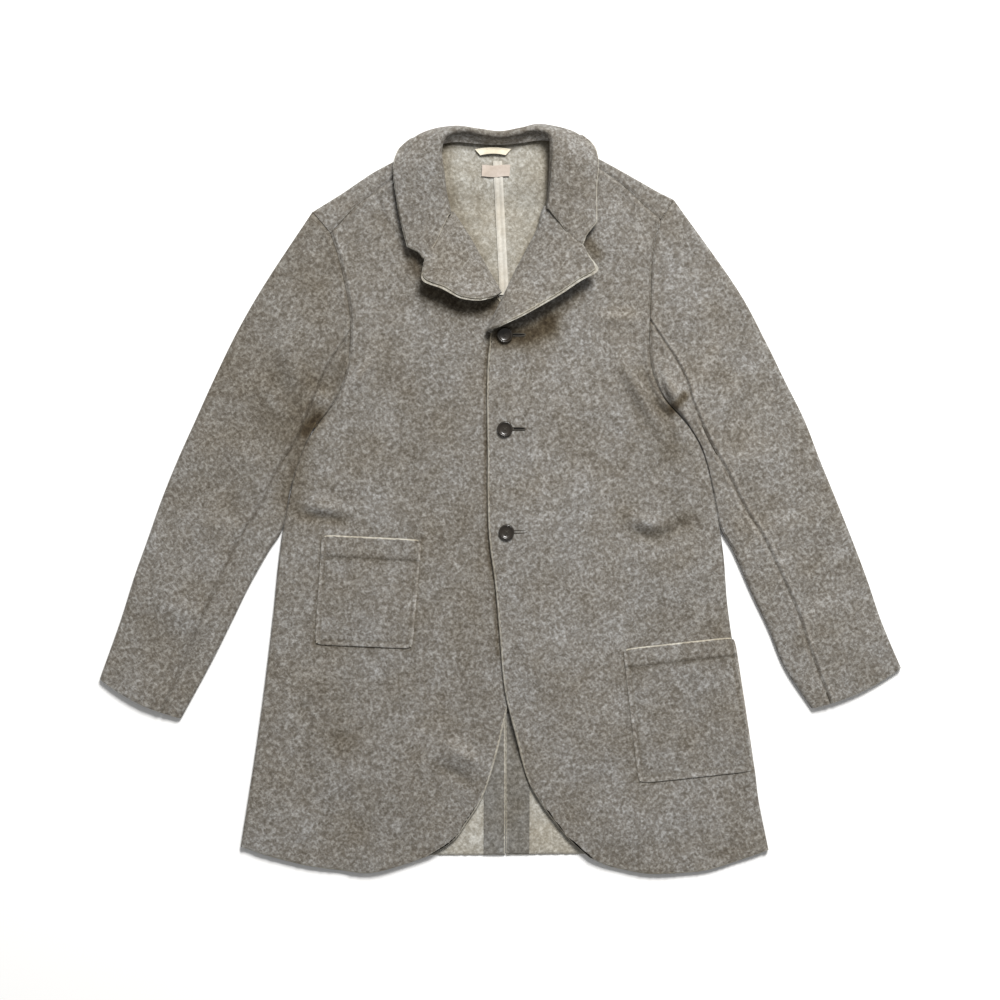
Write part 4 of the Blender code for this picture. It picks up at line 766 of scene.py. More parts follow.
def build_sleeve(left, settings):
    """Make the top and under sleeve: two strips of one flat tube, parted at the inseam and the elbow seam."""
    name = SIDE_NAMES[left]
    cell = settings.cell / MILLIMETRE
    cloth = settings.cloth / MILLIMETRE
    table = np.array(SLEEVE_LEFT if left else SLEEVE_RIGHT, dtype=float)
    row = even_rows([table[:, :2], table[:, 2:]], [0, len(table) - 1], cell)
    ends = spline_at(table, row)
    width = np.linalg.norm(ends[:, 2:] - ends[:, :2], axis=1)
    rounded = (EDGE_RADIUS / width)[:, None]
    stations = np.interp(row / (len(table) - 1.0), INSEAM_AT, np.arange(len(INSEAM_AT)))
    parts_at = spline_at(INSEAM_SHARES[left], stations)[:, None]
    seam = sleeve_plan(left, row, parts_at)[:, 0]
    angle = np.linspace(-0.5 * math.pi, 0.5 * math.pi, ARC_STEPS)[None, :]
    line_out = sleeve_plan(left, row, 0.0 * parts_at)
    line_in = sleeve_plan(left, row, 0.0 * parts_at + 1.0)
    toward_in = unit(sleeve_plan(left, row, rounded) - line_out)
    toward_out = unit(sleeve_plan(left, row, 1.0 - rounded) - line_in)
    bend = (EDGE_RADIUS * (1.0 - np.cos(angle)))[..., None]
    arc_height = np.repeat((EDGE_RADIUS * (1.0 + np.sin(angle))), len(row), axis=0)
    outer_arc = np.concatenate([line_out + toward_in * bend, arc_height[..., None]], axis=-1)
    inner_arc = np.concatenate([line_in + toward_out * bend, arc_height[..., None]], axis=-1)

    def top_face(start, end, count, ends_rich):
        """Return the top side between two shares of the width."""
        across = edge_rich(count, 0.02, ends_rich)[None, :]
        shares = start * (1.0 - across) + end * across
        plan = sleeve_plan(left, row, shares)
        height = sleeve_height(plan, row, shares, seam)
        return np.concatenate([plan, height[..., None]], axis=-1)

    top = top_face(rounded, parts_at, int(110.0 / cell), (False, True))
    top[:, -1] += unit(top[:, -2] - top[:, -1]) * 0.12
    shown = np.concatenate([outer_arc[:, :-1], top], axis=1)
    under = top_face(parts_at, 1.0 - rounded, int(52.0 / cell), (True, False))
    under[:, 0] += unit(under[:, 1] - under[:, 0]) * 0.12
    back = np.linspace(1.0, 0.0, 14)[None, 1:-1]
    back_shares = rounded * (1.0 - back) + (1.0 - rounded) * back
    back_plan = sleeve_plan(left, row, back_shares)
    underside = np.concatenate([back_plan, np.zeros(back_plan.shape[:2] + (1,))], axis=-1)
    foot = outer_arc[:, :1].copy()
    foot[..., :2] += 0.15 * toward_in
    hidden = np.concatenate([under, inner_arc[:, ::-1][:, 1:], underside, foot], axis=1)
    for label, grid, flat in (("top", shown, (0.20, 0.68)), ("under", hidden, (0.27, 0.66))):
        points = grid.reshape(-1, 3)
        index = np.arange(len(points)).reshape(grid.shape[:2])
        quads = quads_of(index)
        if not left:
            quads = turned_over(quads)
        normals = point_normals(points, quads)
        raw = np.zeros(len(points))
        raw[index[-1]] = 1.0
        travelled = (row / (len(table) - 1.0))[:, None]
        # Painted shade and light in the sleeves' tone: the right sleeve painted darker near the armhole, the
        # left a little lighter towards the cuff, the creases' troughs darker and ridges lighter, painted
        # shade in the grooves of the seam and the armhole, and a painted highlight on the ridge beside the
        # seam
        shade = (1.0 + 0.03 * travelled if left else 0.85 + 0.12 * smooth_step(travelled, 0.1, 0.8))
        shade = shade - shade_near(grid[..., 0], grid[..., 1], CREASE_SHADE)
        shade = shade + 0.035 * np.clip(fold_relief(grid[..., 0], grid[..., 1]), -4.0, 4.0)
        to_seam = np.hypot(*np.moveaxis(grid[..., :2] - seam[:, None], -1, 0))
        to_armhole = np.hypot(grid[..., 0] - grid[:1, :, 0], grid[..., 1] - grid[:1, :, 1])
        shade = shade - (0.16 if left else 0.06) * np.exp(-(to_seam / 2.2) ** 2)
        shade = shade - 0.12 * np.exp(-(to_armhole / 2.6) ** 2)
        tone = (shade + (0.16 if left else 0.05) * np.exp(-((to_seam - 4.5) / 2.2) ** 2)).reshape(-1)
        node = "sleeve_" + name + "_" + label
        item = wall(node, points, normals, quads, 0.0, -cloth, WOOL, raw, 0.5, 0.0, tone)
        lay(item, node)


def collar_face(cell):
    """Return the grid of the collar's under face, lofted through the sections and round each of them."""
    table = np.array(COLLAR, dtype=float)
    nx, ny, rx, ry, rz, fx, fy, ex, ey, ez, tuck = table.T
    over = ny < 420
    front = np.where(nx > 0, front_height(nx, ny, True), front_height(nx, ny, False))
    seat = np.where(over, front + FACING_RISE, BACK_CLOTH + NECK_LIFT)
    nz = seat + 2.5 + 4 * SEAM_GAP
    toward = np.stack([fx - rx, fy - ry], axis=-1)
    reach = np.linalg.norm(toward, axis=1)
    toward = unit(toward) * np.minimum(6.0, 0.75 * reach)[:, None]
    fall_z = (1 - tuck) * (0.5 * (rz + ez) + 1.0) + tuck * 11.0
    part = 0.5 - 0.40 * tuck
    turn = np.stack([fx + (ex - fx) * part, fy + (ey - fy) * (0.5 - 0.44 * tuck),
                     (1 - tuck) * (0.5 * (fall_z + ez)) + tuck * 3.2], axis=-1)
    stations = np.stack([
        np.stack([nx, ny, nz], axis=-1),
        np.stack([0.5 * (nx + rx), 0.5 * (ny + ry), 0.75 * nz + 0.25 * rz], axis=-1),
        np.stack([rx, ry, rz - 4.5], axis=-1),
        np.stack([rx + 0.25 * toward[:, 0], ry + 0.25 * toward[:, 1], rz], axis=-1),
        np.stack([rx + toward[:, 0], ry + toward[:, 1], rz + 1.0 - 2.0 * tuck], axis=-1),
        np.stack([fx, fy, fall_z], axis=-1), turn, np.stack([ex, ey, ez], axis=-1)], axis=1)
    places = even_rows([stations[:, 3], stations[:, 7]], [0, len(table) - 1], cell)
    rows = np.swapaxes(spline_at(stations, places), 0, 1)
    across = np.linspace(0.0, 1.0, COLLAR_STEPS)
    grid = spline_at(rows, across * (rows.shape[0] - 1))
    grid = np.swapaxes(grid, 0, 1)
    grid[..., 2] = np.maximum(grid[..., 2], 2.55)
    ends = smooth_step(np.abs(places - 8.0), 3.6, 7.0)[:, None]
    grid[..., 2] += COLLAR_END_LIFT * ends * smooth_step(across, 0.45, 1.0)[None, :]
    return grid


def build_collar(settings):
    """Make the under and the top collar, the top one ending short of the under one's light raw edge."""
    cloth = settings.cloth / MILLIMETRE
    grid = collar_face(settings.cell / MILLIMETRE)
    points = grid.reshape(-1, 3)
    index = np.arange(len(points)).reshape(grid.shape[:2])
    quads = quads_of(index)
    normals = point_normals(points, quads)
    if normals.reshape(grid.shape)[len(grid) // 2, 40, 2] < 0.0:
        quads = turned_over(quads)
        normals = -normals
    raw = np.zeros(len(points))
    middle = 0.5 * (len(grid) - 1)
    free = np.abs(np.arange(len(grid)) - middle) > 0.52 * middle
    raw[index[free, -1]] = 1.0
    raw[index[[0, -1], COLLAR_RAW_FROM:]] = 1.0
    under = wall("collar_under", points, normals, quads, 0.0, -cloth, TURNED_WOOL, raw, 0.5, 0.0)
    lay(under, "collar_under")
    raw = np.zeros(len(points))
    raw[index[free, -3]] = 1.0
    raw[index[[0, -1], COLLAR_RAW_FROM:-2]] = 1.4
    # Painted light and shade in the top collar's tone: the stand, which faces away from the light, painted
    # much lighter, the roll painted darker and the fall a little lighter
    step = np.arange(COLLAR_STEPS)
    shade = 0.96 - 0.16 * np.exp(-((step - 32.0) / 8.0) ** 2) + 0.05 * smooth_step(step, 45, 80)
    shade = shade + 0.75 * (1.0 - smooth_step(step, 12, 26))
    shown = quads_of(index[:, :-2])
    quads = shown if np.array_equal(quads, quads_of(index)) else turned_over(shown)
    top = wall("collar_top", points, normals, quads, cloth + SEAM_GAP, SEAM_GAP, WOOL, raw, 1.0, 0.2,
               np.tile(shade, len(grid)))
    lay(top, "collar_top")


def build_pocket(name, corners, left, band, settings):
    """Make a patch pocket from the front's own face, moved up, with a turned band at its top."""
    low_out, low_in, high_in, high_out = [np.array(corner, dtype=float) for corner in corners]
    cell = settings.cell / MILLIMETRE
    cloth = settings.cloth / MILLIMETRE
    across = edge_rich(int(130.0 / cell), 0.015)[None, :, None]
    below = edge_rich(int(110.0 / cell), 0.015, (True, False)) * band
    in_band = np.array([0.02, 0.06, 0.2, 0.4, 0.6, 0.8, 0.93, 1.0])
    steps = np.concatenate([below, band + (1.0 - band) * in_band])
    up = steps[:, None, None]
    plan = ((low_out * (1 - across) + low_in * across) * (1 - up)
            + (high_out * (1 - across) + high_in * across) * up)
    corner = (np.abs(2.0 * across - 1.0) * np.abs(2.0 * up - 1.0)) ** 16
    plan = plan + 4.0 * corner * unit(plan.mean(axis=(0, 1)) - plan)
    x, y = plan[..., 0], plan[..., 1]
    edge = np.minimum(np.minimum(across[..., 0], 1.0 - across[..., 0]) * 122.0, steps[:, None] * 135.0)
    raised = 0.9 * smooth_step(steps, band, band + (1.0 - band) * 0.06)[:, None]
    z = front_height(x, y, left) + fold_relief(x, y) + 0.4 + cloth + raised
    z = z + 0.7 * np.sin(math.pi * across[..., 0]) * smooth_step(steps[:, None], 0.5, 1.0)
    z = z - 0.9 * np.exp(-(edge / 2.0) ** 2) - 1.1 * np.exp(-((edge - 5.5) / 1.5) ** 2)
    side = np.array(SIDE_LEFT, dtype=float)
    z = z - edge_drop(np.clip(np.interp(y, side[:, 1], side[:, 0]) - x, 0.0, None))
    points = np.stack([x, y, z], axis=-1).reshape(-1, 3)
    index = np.arange(len(points)).reshape(x.shape)
    quads = quads_of(index)
    if x[0, 1] < x[0, 0]:
        quads = turned_over(quads)
    normals = point_normals(points, quads)
    raw = np.zeros(len(points))
    raw[index[:, [0, -1]]] = 0.7
    raw[index[0]] = 0.9
    raw[index[-1]] = 1.3
    # Painted shade in the pocket's tone: in the groove 5.4 mm in from its edge, at the turn of the band and
    # in the creases; the tone is also lighter along the edge
    tone = 1.0 + 0.34 * np.exp(-((edge - 1.8) / 1.5) ** 2) - 0.16 * np.exp(-((edge - 5.4) / 1.5) ** 2)
    tone = tone - shade_near(x, y, CREASE_SHADE)
    tone = tone - 0.20 * np.exp(-((steps[:, None] - band) * 135.0 / 2.5) ** 2)
    item = wall(name, points, normals, quads, 0.0, -cloth, WOOL, raw, 1.4, 0.0, tone.reshape(-1))
    lay(item, name)


def ring_points(path_x, path_y, path_z, radius, sides):
    """Return a tube's grid: at each place of the path, a ring p + r(cos a · side + sin a · up)."""
    path = np.stack([path_x, path_y, path_z], axis=-1)
    run = unit(np.gradient(path, axis=0))
    side = unit(np.cross(run, [0.0, 0.0, 1.0]))
    up = np.cross(side, run)
    angle = np.linspace(0.0, 2.0 * math.pi, sides, endpoint=False)[None, :, None]
    radius = np.broadcast_to(radius, path_x.shape)[:, None, None]
    return path[:, None] + radius * (np.cos(angle) * side[:, None] + np.sin(angle) * up[:, None])


def turned_piece(profile, centre, segments):
    """Return a turned body's points and cells: rings (r cos a, r sin a, h) and a fan at each pole."""
    profile = np.asarray(profile, dtype=float)
    angle = np.linspace(0.0, 2.0 * math.pi, segments, endpoint=False)
    ring = profile[1:-1]
    body = np.stack([ring[:, :1] * np.cos(angle), ring[:, :1] * np.sin(angle),
                     np.repeat(ring[:, 1:], segments, axis=1)], axis=-1).reshape(-1, 3)
    points = np.vstack([[[0.0, 0.0, profile[0, 1]]], body, [[0.0, 0.0, profile[-1, 1]]]]) + np.asarray(centre)
    index = 1 + np.arange(len(ring) * segments).reshape(len(ring), segments)
    index = np.hstack([index, index[:, :1]])
    quads = quads_of(index)
    after = np.roll(np.arange(segments), -1)
    foot = np.stack([np.zeros(segments, dtype=int), 1 + after, 1 + np.arange(segments)], axis=-1)
    last = 1 + (len(ring) - 1) * segments
    head = np.stack([last + np.arange(segments), last + after, np.full(segments, len(points) - 1)], axis=-1)
    return points, quads, np.vstack([foot, head])


def build_buttons(settings):
    """Make the dished buttons with crossed thread, and the worked buttonhole beside each."""
    radius = 0.5 * settings.button / MILLIMETRE
    profile = [(0.0, 0.0), (0.60 * radius, 0.0), (0.86 * radius, 0.6), (0.96 * radius, 1.3), (radius, 2.1),
               (0.99 * radius, 3.0), (0.94 * radius, 3.8), (0.88 * radius, 4.2), (0.82 * radius, 4.1),
               (0.76 * radius, 3.6), (0.66 * radius, 2.9), (0.50 * radius, 2.6),
               (0.25 * radius, 2.55), (0.0, 2.55)]
    for name, x, y in BUTTONS:
        ring = np.linspace(0.0, 2 * math.pi, 24)
        seat = float(np.max(front_height(x + radius * np.cos(ring), y + radius * np.sin(ring), True)))
        seat += FACING_RISE + SEAM_GAP
        points, quads, fans = turned_piece(profile, (x, y, seat), 72)
        item = fill_mesh(name + "_horn", points, [(quads, 0), (fans, 0)], ["horn"])
        set_piece(item, name)
        add_stitches(name + "_thread", [((x - 2.3, y - 2.3), (x + 2.3, y + 2.3)),
                                        ((x - 2.3, y + 2.3), (x + 2.3, y - 2.3))], 0.55, seat + 2.7,
                     "dark_thread")
        hole = np.linspace(0.0, 2.0 * math.pi, 65)
        px = x + HOLE_REACH + HOLE_HALF_LENGTH * np.cos(hole)
        py = y + HOLE_RISE + 1.7 * np.sign(np.sin(hole)) * np.abs(np.sin(hole)) ** 0.6
        pz = front_height(px, py, True) + FACING_RISE + 0.25
        grid = ring_points(px, py, pz, 0.75, 8)[:-1]
        index = np.arange(grid.shape[0] * grid.shape[1]).reshape(grid.shape[:2])
        index = np.vstack([index, index[:1]])
        index = np.hstack([index, index[:, :1]])
        loop = fill_mesh(name + "_hole", grid.reshape(-1, 3), [(turned_over(quads_of(index)), 0)],
                         ["dark_thread"])
        set_piece(loop)
        # The slit is a thin near-black sheet in the buttonhole: painted shadow in its opening
        slit = np.stack([px, py, pz - 0.1], axis=-1)[:-1]
        middle = np.array([[x + HOLE_REACH, y + HOLE_RISE, pz.mean() - 0.1]])
        count = len(slit)
        fan = np.stack([np.arange(count), np.roll(np.arange(count), -1), np.full(count, count)], axis=-1)
        lower = np.vstack([slit, middle]) - [[0.0, 0.0, 0.4]]
        low_fan = fan[:, [1, 0, 2]] + count + 1
        step = np.arange(count)
        side = np.stack([step, step + count + 1, np.roll(step, -1) + count + 1, np.roll(step, -1)], axis=-1)
        item = fill_mesh(name + "_slit", np.vstack([slit, middle, lower]),
                         [(fan, 0), (low_fan, 0), (side, 0)], ["slit_painted_shadow"])
        set_piece(item)


def add_stitches(name, pairs, radius, height, material):
    """Make short threads, each a spindle from one point to the other with the radius r sin(πs)^½."""
    pairs = np.asarray(pairs, dtype=float)
    height = np.broadcast_to(height, (len(pairs),))
    share = np.array([0.0, 0.12, 0.35, 0.65, 0.88, 1.0])
    swell = np.sqrt(np.clip(np.sin(math.pi * share), 0.02, 1.0))
    start, end = pairs[:, 0], pairs[:, 1]
    plan = start[:, None] * (1 - share[None, :, None]) + end[:, None] * share[None, :, None]
    run = unit(end - start)
    side = np.stack([run[:, 1], -run[:, 0]], axis=-1)
    angle = np.linspace(0.0, 2.0 * math.pi, 6, endpoint=False)
    offset = (radius * swell)[None, :, None] * np.cos(angle)[None, None, :]
    rise = (radius * swell)[None, :, None] * np.sin(angle)[None, None, :]
    arch = height[:, None, None] + 0.3 * radius * np.sin(math.pi * share)[None, :, None]
    flat = plan[:, :, None] + side[:, None, None] * offset[..., None]
    tall = np.broadcast_to(arch + rise, flat.shape[:3])
    points = np.concatenate([flat, tall[..., None]], axis=-1)
    count = len(pairs)
    index = np.arange(count * 36).reshape(count, 6, 6)
    around = np.concatenate([index, index[:, :, :1]], axis=2)
    quads = np.stack([around[:, :-1, :-1], around[:, :-1, 1:], around[:, 1:, 1:], around[:, 1:, :-1]],
                     axis=-1)
    caps = np.concatenate([index[:, 0, ::-1], index[:, -1]])
    item = fill_mesh(name, points.reshape(-1, 3), [(quads.reshape(-1, 4), 0), (caps, 0)], [material])
    set_piece(item)


def flat_strip(name, path, width, thickness, base, materials, ribs=None, taper=0.0, raw_column=None):
    """Make a flat strip along a path on the plan, its upper face p + side · w with the ribs' relief.

    The taper shortens the far side about the strip's middle, and one side can have a light raw edge.
    """
    path = np.array(path, dtype=float)
    run = unit(np.gradient(path, axis=0))
    side = np.stack([run[:, 1], -run[:, 0]], axis=-1)
    across = np.linspace(-0.5, 0.5, 17)
    plan = path[:, None] + side[:, None] * (across[None, :, None] * width)
    middle = path[:, 0].mean()
    plan[..., 0] = middle + (plan[..., 0] - middle) * (1.0 - taper * (across + 0.5))
    x, y = plan[..., 0], plan[..., 1]
    relief = 0.0 if ribs is None else ribs(across * width)[None, :]
    z = base(x, y) + thickness + relief
    points = np.stack([x, y, z], axis=-1).reshape(-1, 3)
    index = np.arange(len(points)).reshape(x.shape)
    quads = quads_of(index)
    normals = point_normals(points, quads)
    if normals[:, 2].mean() < 0:
        quads = turned_over(quads)
        normals = -normals
    raw = np.zeros(len(points))
    if raw_column is not None:
        raw[index[:, raw_column]] = 1.0
    return wall(name, points, normals, quads, 0.0, -thickness, materials, raw, 1.1, 0.0)


def back_face(x, y):
    """Return the height just over the inner face of the back."""
    return neck_lift(0.0 * x, y) + BACK_CLOTH + 1.5 * SEAM_GAP


def build_trim():
    """Make the tape on the back seam, the hanger loop, the bare label and the facings of the vent."""
    ys = np.linspace(412.0, 250.0, 60)
    tape = np.stack([-3 + 0.05 * (412.0 - ys), ys], axis=-1)
    item = flat_strip("back_tape", tape, 11.0, 0.9, back_face, ["tape_cloth"] * 3,
                      lambda a: (0.55 * np.exp(-((np.abs(a) - 3.2) / 1.2) ** 2)
                                 - 0.5 * np.exp(-(a / 0.7) ** 2)))
    lay(item, "back_tape")
    label = [(x, 400 + 0.6 * math.sin(x * 0.2)) for x in np.linspace(-22, 12, 24)]
    item = flat_strip("label", label, 14.0, 0.6, lambda x, y: back_face(x, y) + 0.9 + SEAM_GAP,
                      ["label_cloth"] * 3)
    lay(item, "label")
    xs = np.linspace(-30, 13, 40)
    loop = np.stack([xs, 424.5 - 0.004 * (xs + 8) ** 2], axis=-1)
    item = flat_strip("hanger_loop", loop, 7.6, 1.2,
                      lambda x, y: back_face(x, y) + 0.15 + 3.0 * np.cos((x + 8.5) / 23.0 * 0.5 * math.pi),
                      ["loop_cloth_painted_light"] * 3, lambda a: 0.5 * np.cos(a / 3.8 * 0.5 * math.pi), 0.26)
    lay(item, "hanger_loop")
    for name, x, width, foot, edge in VENT_STRIPS:
        path = [(x + 0.25 * math.sin(y * 0.03), y) for y in np.linspace(foot, -250.0, 70)]
        item = flat_strip(name, path, width, 1.32, back_face, ["strip_cloth", "felt_inner", "felt_cut"],
                          lambda a: -0.3 * np.exp(-((np.abs(a) - 9.5) / 1.0) ** 2), 0.0, edge)
        lay(item, name)


def new_node(tree, kind, place, **values):
    """Add a node to a tree and set its fields."""
    node = tree.nodes.new(kind)
    node.location = place
    for field, value in values.items():
        setattr(node, field, value)
    return node


def set_inputs(node, **values):
    """Set a node's sockets by name, an underscore standing for a space."""
    for field, value in values.items():
        node.inputs[field.replace("_", " ")].default_value = value


def mix_colour(tree, place, factor, first, second, blend="MIX"):
    """Add a colour mix of first and second, each a colour or a socket, and return its result."""
    node = new_node(tree, "ShaderNodeMix", place, data_type="RGBA", blend_type=blend)
    for socket, value in ((node.inputs[0], factor), (node.inputs[6], first), (node.inputs[7], second)):
        if isinstance(value, bpy.types.NodeSocket):
            tree.links.new(value, socket)
        else:
            socket.default_value = value
    return node.outputs[2]


def noise_mask(tree, place, vector, scale, detail, low, high, roughness=0.6, distortion=0.0):
    """Add a noise and a range from low to high of its value, and return the mask."""
    noise = new_node(tree, "ShaderNodeTexNoise", place)
    set_inputs(noise, Scale=scale, Detail=detail, Roughness=roughness, Distortion=distortion)
    tree.links.new(vector, noise.inputs["Vector"])
    ranged = new_node(tree, "ShaderNodeMapRange", (place[0] + 180, place[1]))
    set_inputs(ranged, From_Min=low, From_Max=high)
    tree.links.new(noise.outputs["Fac"], ranged.inputs["Value"])
    return ranged.outputs["Result"]


def stretched(tree, place, vector, turn, scale):
    """Add a mapping that turns and stretches the coordinates, so that a noise becomes streaks."""
    node = new_node(tree, "ShaderNodeMapping", place, vector_type="TEXTURE")
    node.inputs["Rotation"].default_value = (0.0, 0.0, turn)
    node.inputs["Scale"].default_value = scale
    tree.links.new(vector, node.inputs["Vector"])
    return node.outputs["Vector"]


def melange_group():
    """Return the group of the wool's look: fibres of three tones, blotches and the nap's relief, with the
    Tone input multiplying in the painted shade and painted highlights, the shade warmer where darker.
    """
    tree = bpy.data.node_groups.new("Wool melange", "ShaderNodeTree")
    for name, kind in (("Vector", "NodeSocketVector"), ("Dark", "NodeSocketColor"),
                       ("Middle", "NodeSocketColor"), ("Light", "NodeSocketColor"),
                       ("Relief", "NodeSocketFloat"), ("Tone", "NodeSocketFloat")):
        tree.interface.new_socket(name, in_out="INPUT", socket_type=kind)
    for name, kind in (("Colour", "NodeSocketColor"), ("Normal", "NodeSocketVector")):
        tree.interface.new_socket(name, in_out="OUTPUT", socket_type=kind)
    given = new_node(tree, "NodeGroupInput", (-1400, 0))
    result = new_node(tree, "NodeGroupOutput", (900, 0))
    vector = given.outputs["Vector"]
    speck = noise_mask(tree, (-1000, 400), vector, 225.0, 3.0, 0.20, 0.80, 0.6)
    colour = mix_colour(tree, (-560, 400), speck, given.outputs["Dark"], given.outputs["Middle"])
    one = stretched(tree, (-1180, 150), vector, 0.6, (1.0, 1.7, 1.0))
    hairs = noise_mask(tree, (-1000, 150), one, 340.0, 2.0, 0.48, 0.98, 0.6, 0.2)
    colour = mix_colour(tree, (-380, 300), hairs, colour, given.outputs["Light"])
    two = stretched(tree, (-1180, -100), vector, -0.9, (1.0, 1.7, 1.0))
    others = noise_mask(tree, (-1000, -100), two, 310.0, 2.0, 0.48, 0.98, 0.6, 0.2)
    colour = mix_colour(tree, (-200, 200), others, colour, given.outputs["Light"])
    three = stretched(tree, (-1180, -350), vector, 1.6, (1.0, 2.0, 1.0))
    dark = noise_mask(tree, (-1000, -350), three, 280.0, 2.0, 0.50, 0.98, 0.6, 0.2)
    colour = mix_colour(tree, (-20, 100), dark, colour, given.outputs["Dark"])
    blotch = noise_mask(tree, (-1000, -600), vector, 65.0, 4.0, 0.28, 0.72, 0.7)
    grey = mix_colour(tree, (-380, -600), blotch, (0.86, 0.85, 0.83, 1.0), (1.12, 1.125, 1.13, 1.0))
    colour = mix_colour(tree, (160, 0), 1.0, colour, grey, "MULTIPLY")
    cloud = noise_mask(tree, (-1000, -850), vector, 16.0, 4.0, 0.34, 0.66, 0.65)
    tint = mix_colour(tree, (-380, -850), cloud, (0.92, 0.895, 0.84, 1.0), (1.08, 1.105, 1.13, 1.0))
    colour = mix_colour(tree, (340, -100), 1.0, colour, tint, "MULTIPLY")
    # Painted shade turns warmer as the tone falls: each channel is the tone to its own power, held at most
    # the tone
    shades = new_node(tree, "ShaderNodeCombineXYZ", (340, -300))
    for axis, power in enumerate((1.0, 1.16, 1.45)):
        raised = new_node(tree, "ShaderNodeMath", (160, -300 - 160 * axis), operation="POWER")
        raised.inputs[1].default_value = power
        lesser = new_node(tree, "ShaderNodeMath", (250, -300 - 160 * axis), operation="MINIMUM")
        tree.links.new(given.outputs["Tone"], raised.inputs[0])
        tree.links.new(raised.outputs[0], lesser.inputs[0])
        tree.links.new(given.outputs["Tone"], lesser.inputs[1])
        tree.links.new(lesser.outputs[0], shades.inputs[axis])
    toned = new_node(tree, "ShaderNodeVectorMath", (520, 0), operation="MULTIPLY")
    tree.links.new(colour, toned.inputs[0])
    tree.links.new(shades.outputs["Vector"], toned.inputs[1])
    tree.links.new(toned.outputs["Vector"], result.inputs["Colour"])
    nap = new_node(tree, "ShaderNodeTexNoise", (-1000, -1100))
    set_inputs(nap, Scale=380.0, Detail=5.0, Roughness=0.7)
    tree.links.new(vector, nap.inputs["Vector"])
    bump = new_node(tree, "ShaderNodeBump", (400, -600))
    set_inputs(bump, Distance=0.0010)
    tree.links.new(given.outputs["Relief"], bump.inputs["Strength"])
    tree.links.new(nap.outputs["Fac"], bump.inputs["Height"])
    tree.links.new(bump.outputs["Normal"], result.inputs["Normal"])
    return tree


def plain_material(name, colour, roughness, sheen=0.0, coat=0.0):
    """Return a Principled material of one tone."""
    material = bpy.data.materials.new(name)
    material.use_nodes = True
    shader = material.node_tree.nodes["Principled BSDF"]
    set_inputs(shader, Base_Color=colour, Roughness=roughness, Sheen_Weight=sheen, Coat_Weight=coat)
    return material


def wool_material(name, group, dark, middle, light, relief, sheen):
    """Make a wool material from the melange group in three tones."""
    material = plain_material(name, middle, 0.92, sheen)
    tree = material.node_tree
    shader = tree.nodes["Principled BSDF"]
    set_inputs(shader, Sheen_Roughness=0.5, Specular_IOR_Level=0.15)
    place = new_node(tree, "ShaderNodeTexCoord", (-700, 0))
    look = new_node(tree, "ShaderNodeGroup", (-400, 0), node_tree=group)
    set_inputs(look, Dark=dark, Middle=middle, Light=light, Relief=relief)
    # The tone attribute brings in each piece's painted shade and light
    tone = new_node(tree, "ShaderNodeAttribute", (-700, -300), attribute_name="tone")
    tree.links.new(place.outputs["Object"], look.inputs["Vector"])
    tree.links.new(tone.outputs["Fac"], look.inputs["Tone"])
    tree.links.new(look.outputs["Colour"], shader.inputs["Base Color"])
    tree.links.new(look.outputs["Normal"], shader.inputs["Normal"])


def make_materials(settings):
    """Make the materials of the cloth, tape, thread and buttons."""
    group = melange_group()
    relief = settings.nap
    wool_material("felt_outer", group, (0.077, 0.065, 0.052, 1.0), (0.220, 0.204, 0.184, 1.0),
                  (0.45, 0.445, 0.435, 1.0), relief, 0.12)
    wool_material("felt_inner", group, (0.19, 0.173, 0.142, 1.0), (0.385, 0.363, 0.32, 1.0),
                  (0.59, 0.58, 0.545, 1.0), relief, 0.10)
    wool_material("strip_cloth", group, (0.085, 0.078, 0.066, 1.0), (0.20, 0.188, 0.17, 1.0),
                  (0.36, 0.35, 0.335, 1.0), relief, 0.10)
    wool_material("felt_cut", group, (0.25, 0.225, 0.185, 1.0), (0.48, 0.45, 0.39, 1.0),
                  (0.66, 0.64, 0.58, 1.0), relief, 0.10)
    wool_material("tape_cloth", group, (0.47, 0.44, 0.39, 1.0), (0.56, 0.53, 0.48, 1.0),
                  (0.62, 0.60, 0.55, 1.0), 0.2, 0.05)
    # The loop's cream is lighter than its cloth's own: painted light that makes up for the collar's shadow on
    # it
    wool_material("loop_cloth_painted_light", group, (0.79, 0.72, 0.58, 1.0), (0.84, 0.77, 0.63, 1.0),
                  (0.88, 0.82, 0.69, 1.0), 0.2, 0.05)
    wool_material("label_cloth", group, (0.45, 0.385, 0.335, 1.0), (0.50, 0.425, 0.37, 1.0),
                  (0.53, 0.46, 0.41, 1.0), 0.15, 0.05)
    plain_material("horn", (0.020, 0.015, 0.010, 1.0), 0.32, 0.0, 0.3)
    plain_material("dark_thread", (0.045, 0.038, 0.028, 1.0), 0.8, 0.1)
    # Near-black sheet of the buttonhole slits: painted shadow
    plain_material("slit_painted_shadow", (0.006, 0.005, 0.004, 1.0), 1.0)


def area_light(name, place, aim, size, power, colour):
    """Add a soft square light that looks at a point."""
    data = bpy.data.lights.new(name, "AREA")
    data.size = size
    data.energy = power
    data.color = colour
    item = bpy.data.objects.new(name, data)
    item.location = place
    direction = np.asarray(aim, dtype=float) - np.asarray(place, dtype=float)
    flat = math.hypot(direction[0], direction[1])
    heading = math.atan2(direction[1], direction[0]) - 0.5 * math.pi
    item.rotation_euler = (math.atan2(flat, -direction[2]), 0.0, heading)
    bpy.context.scene.collection.objects.link(item)


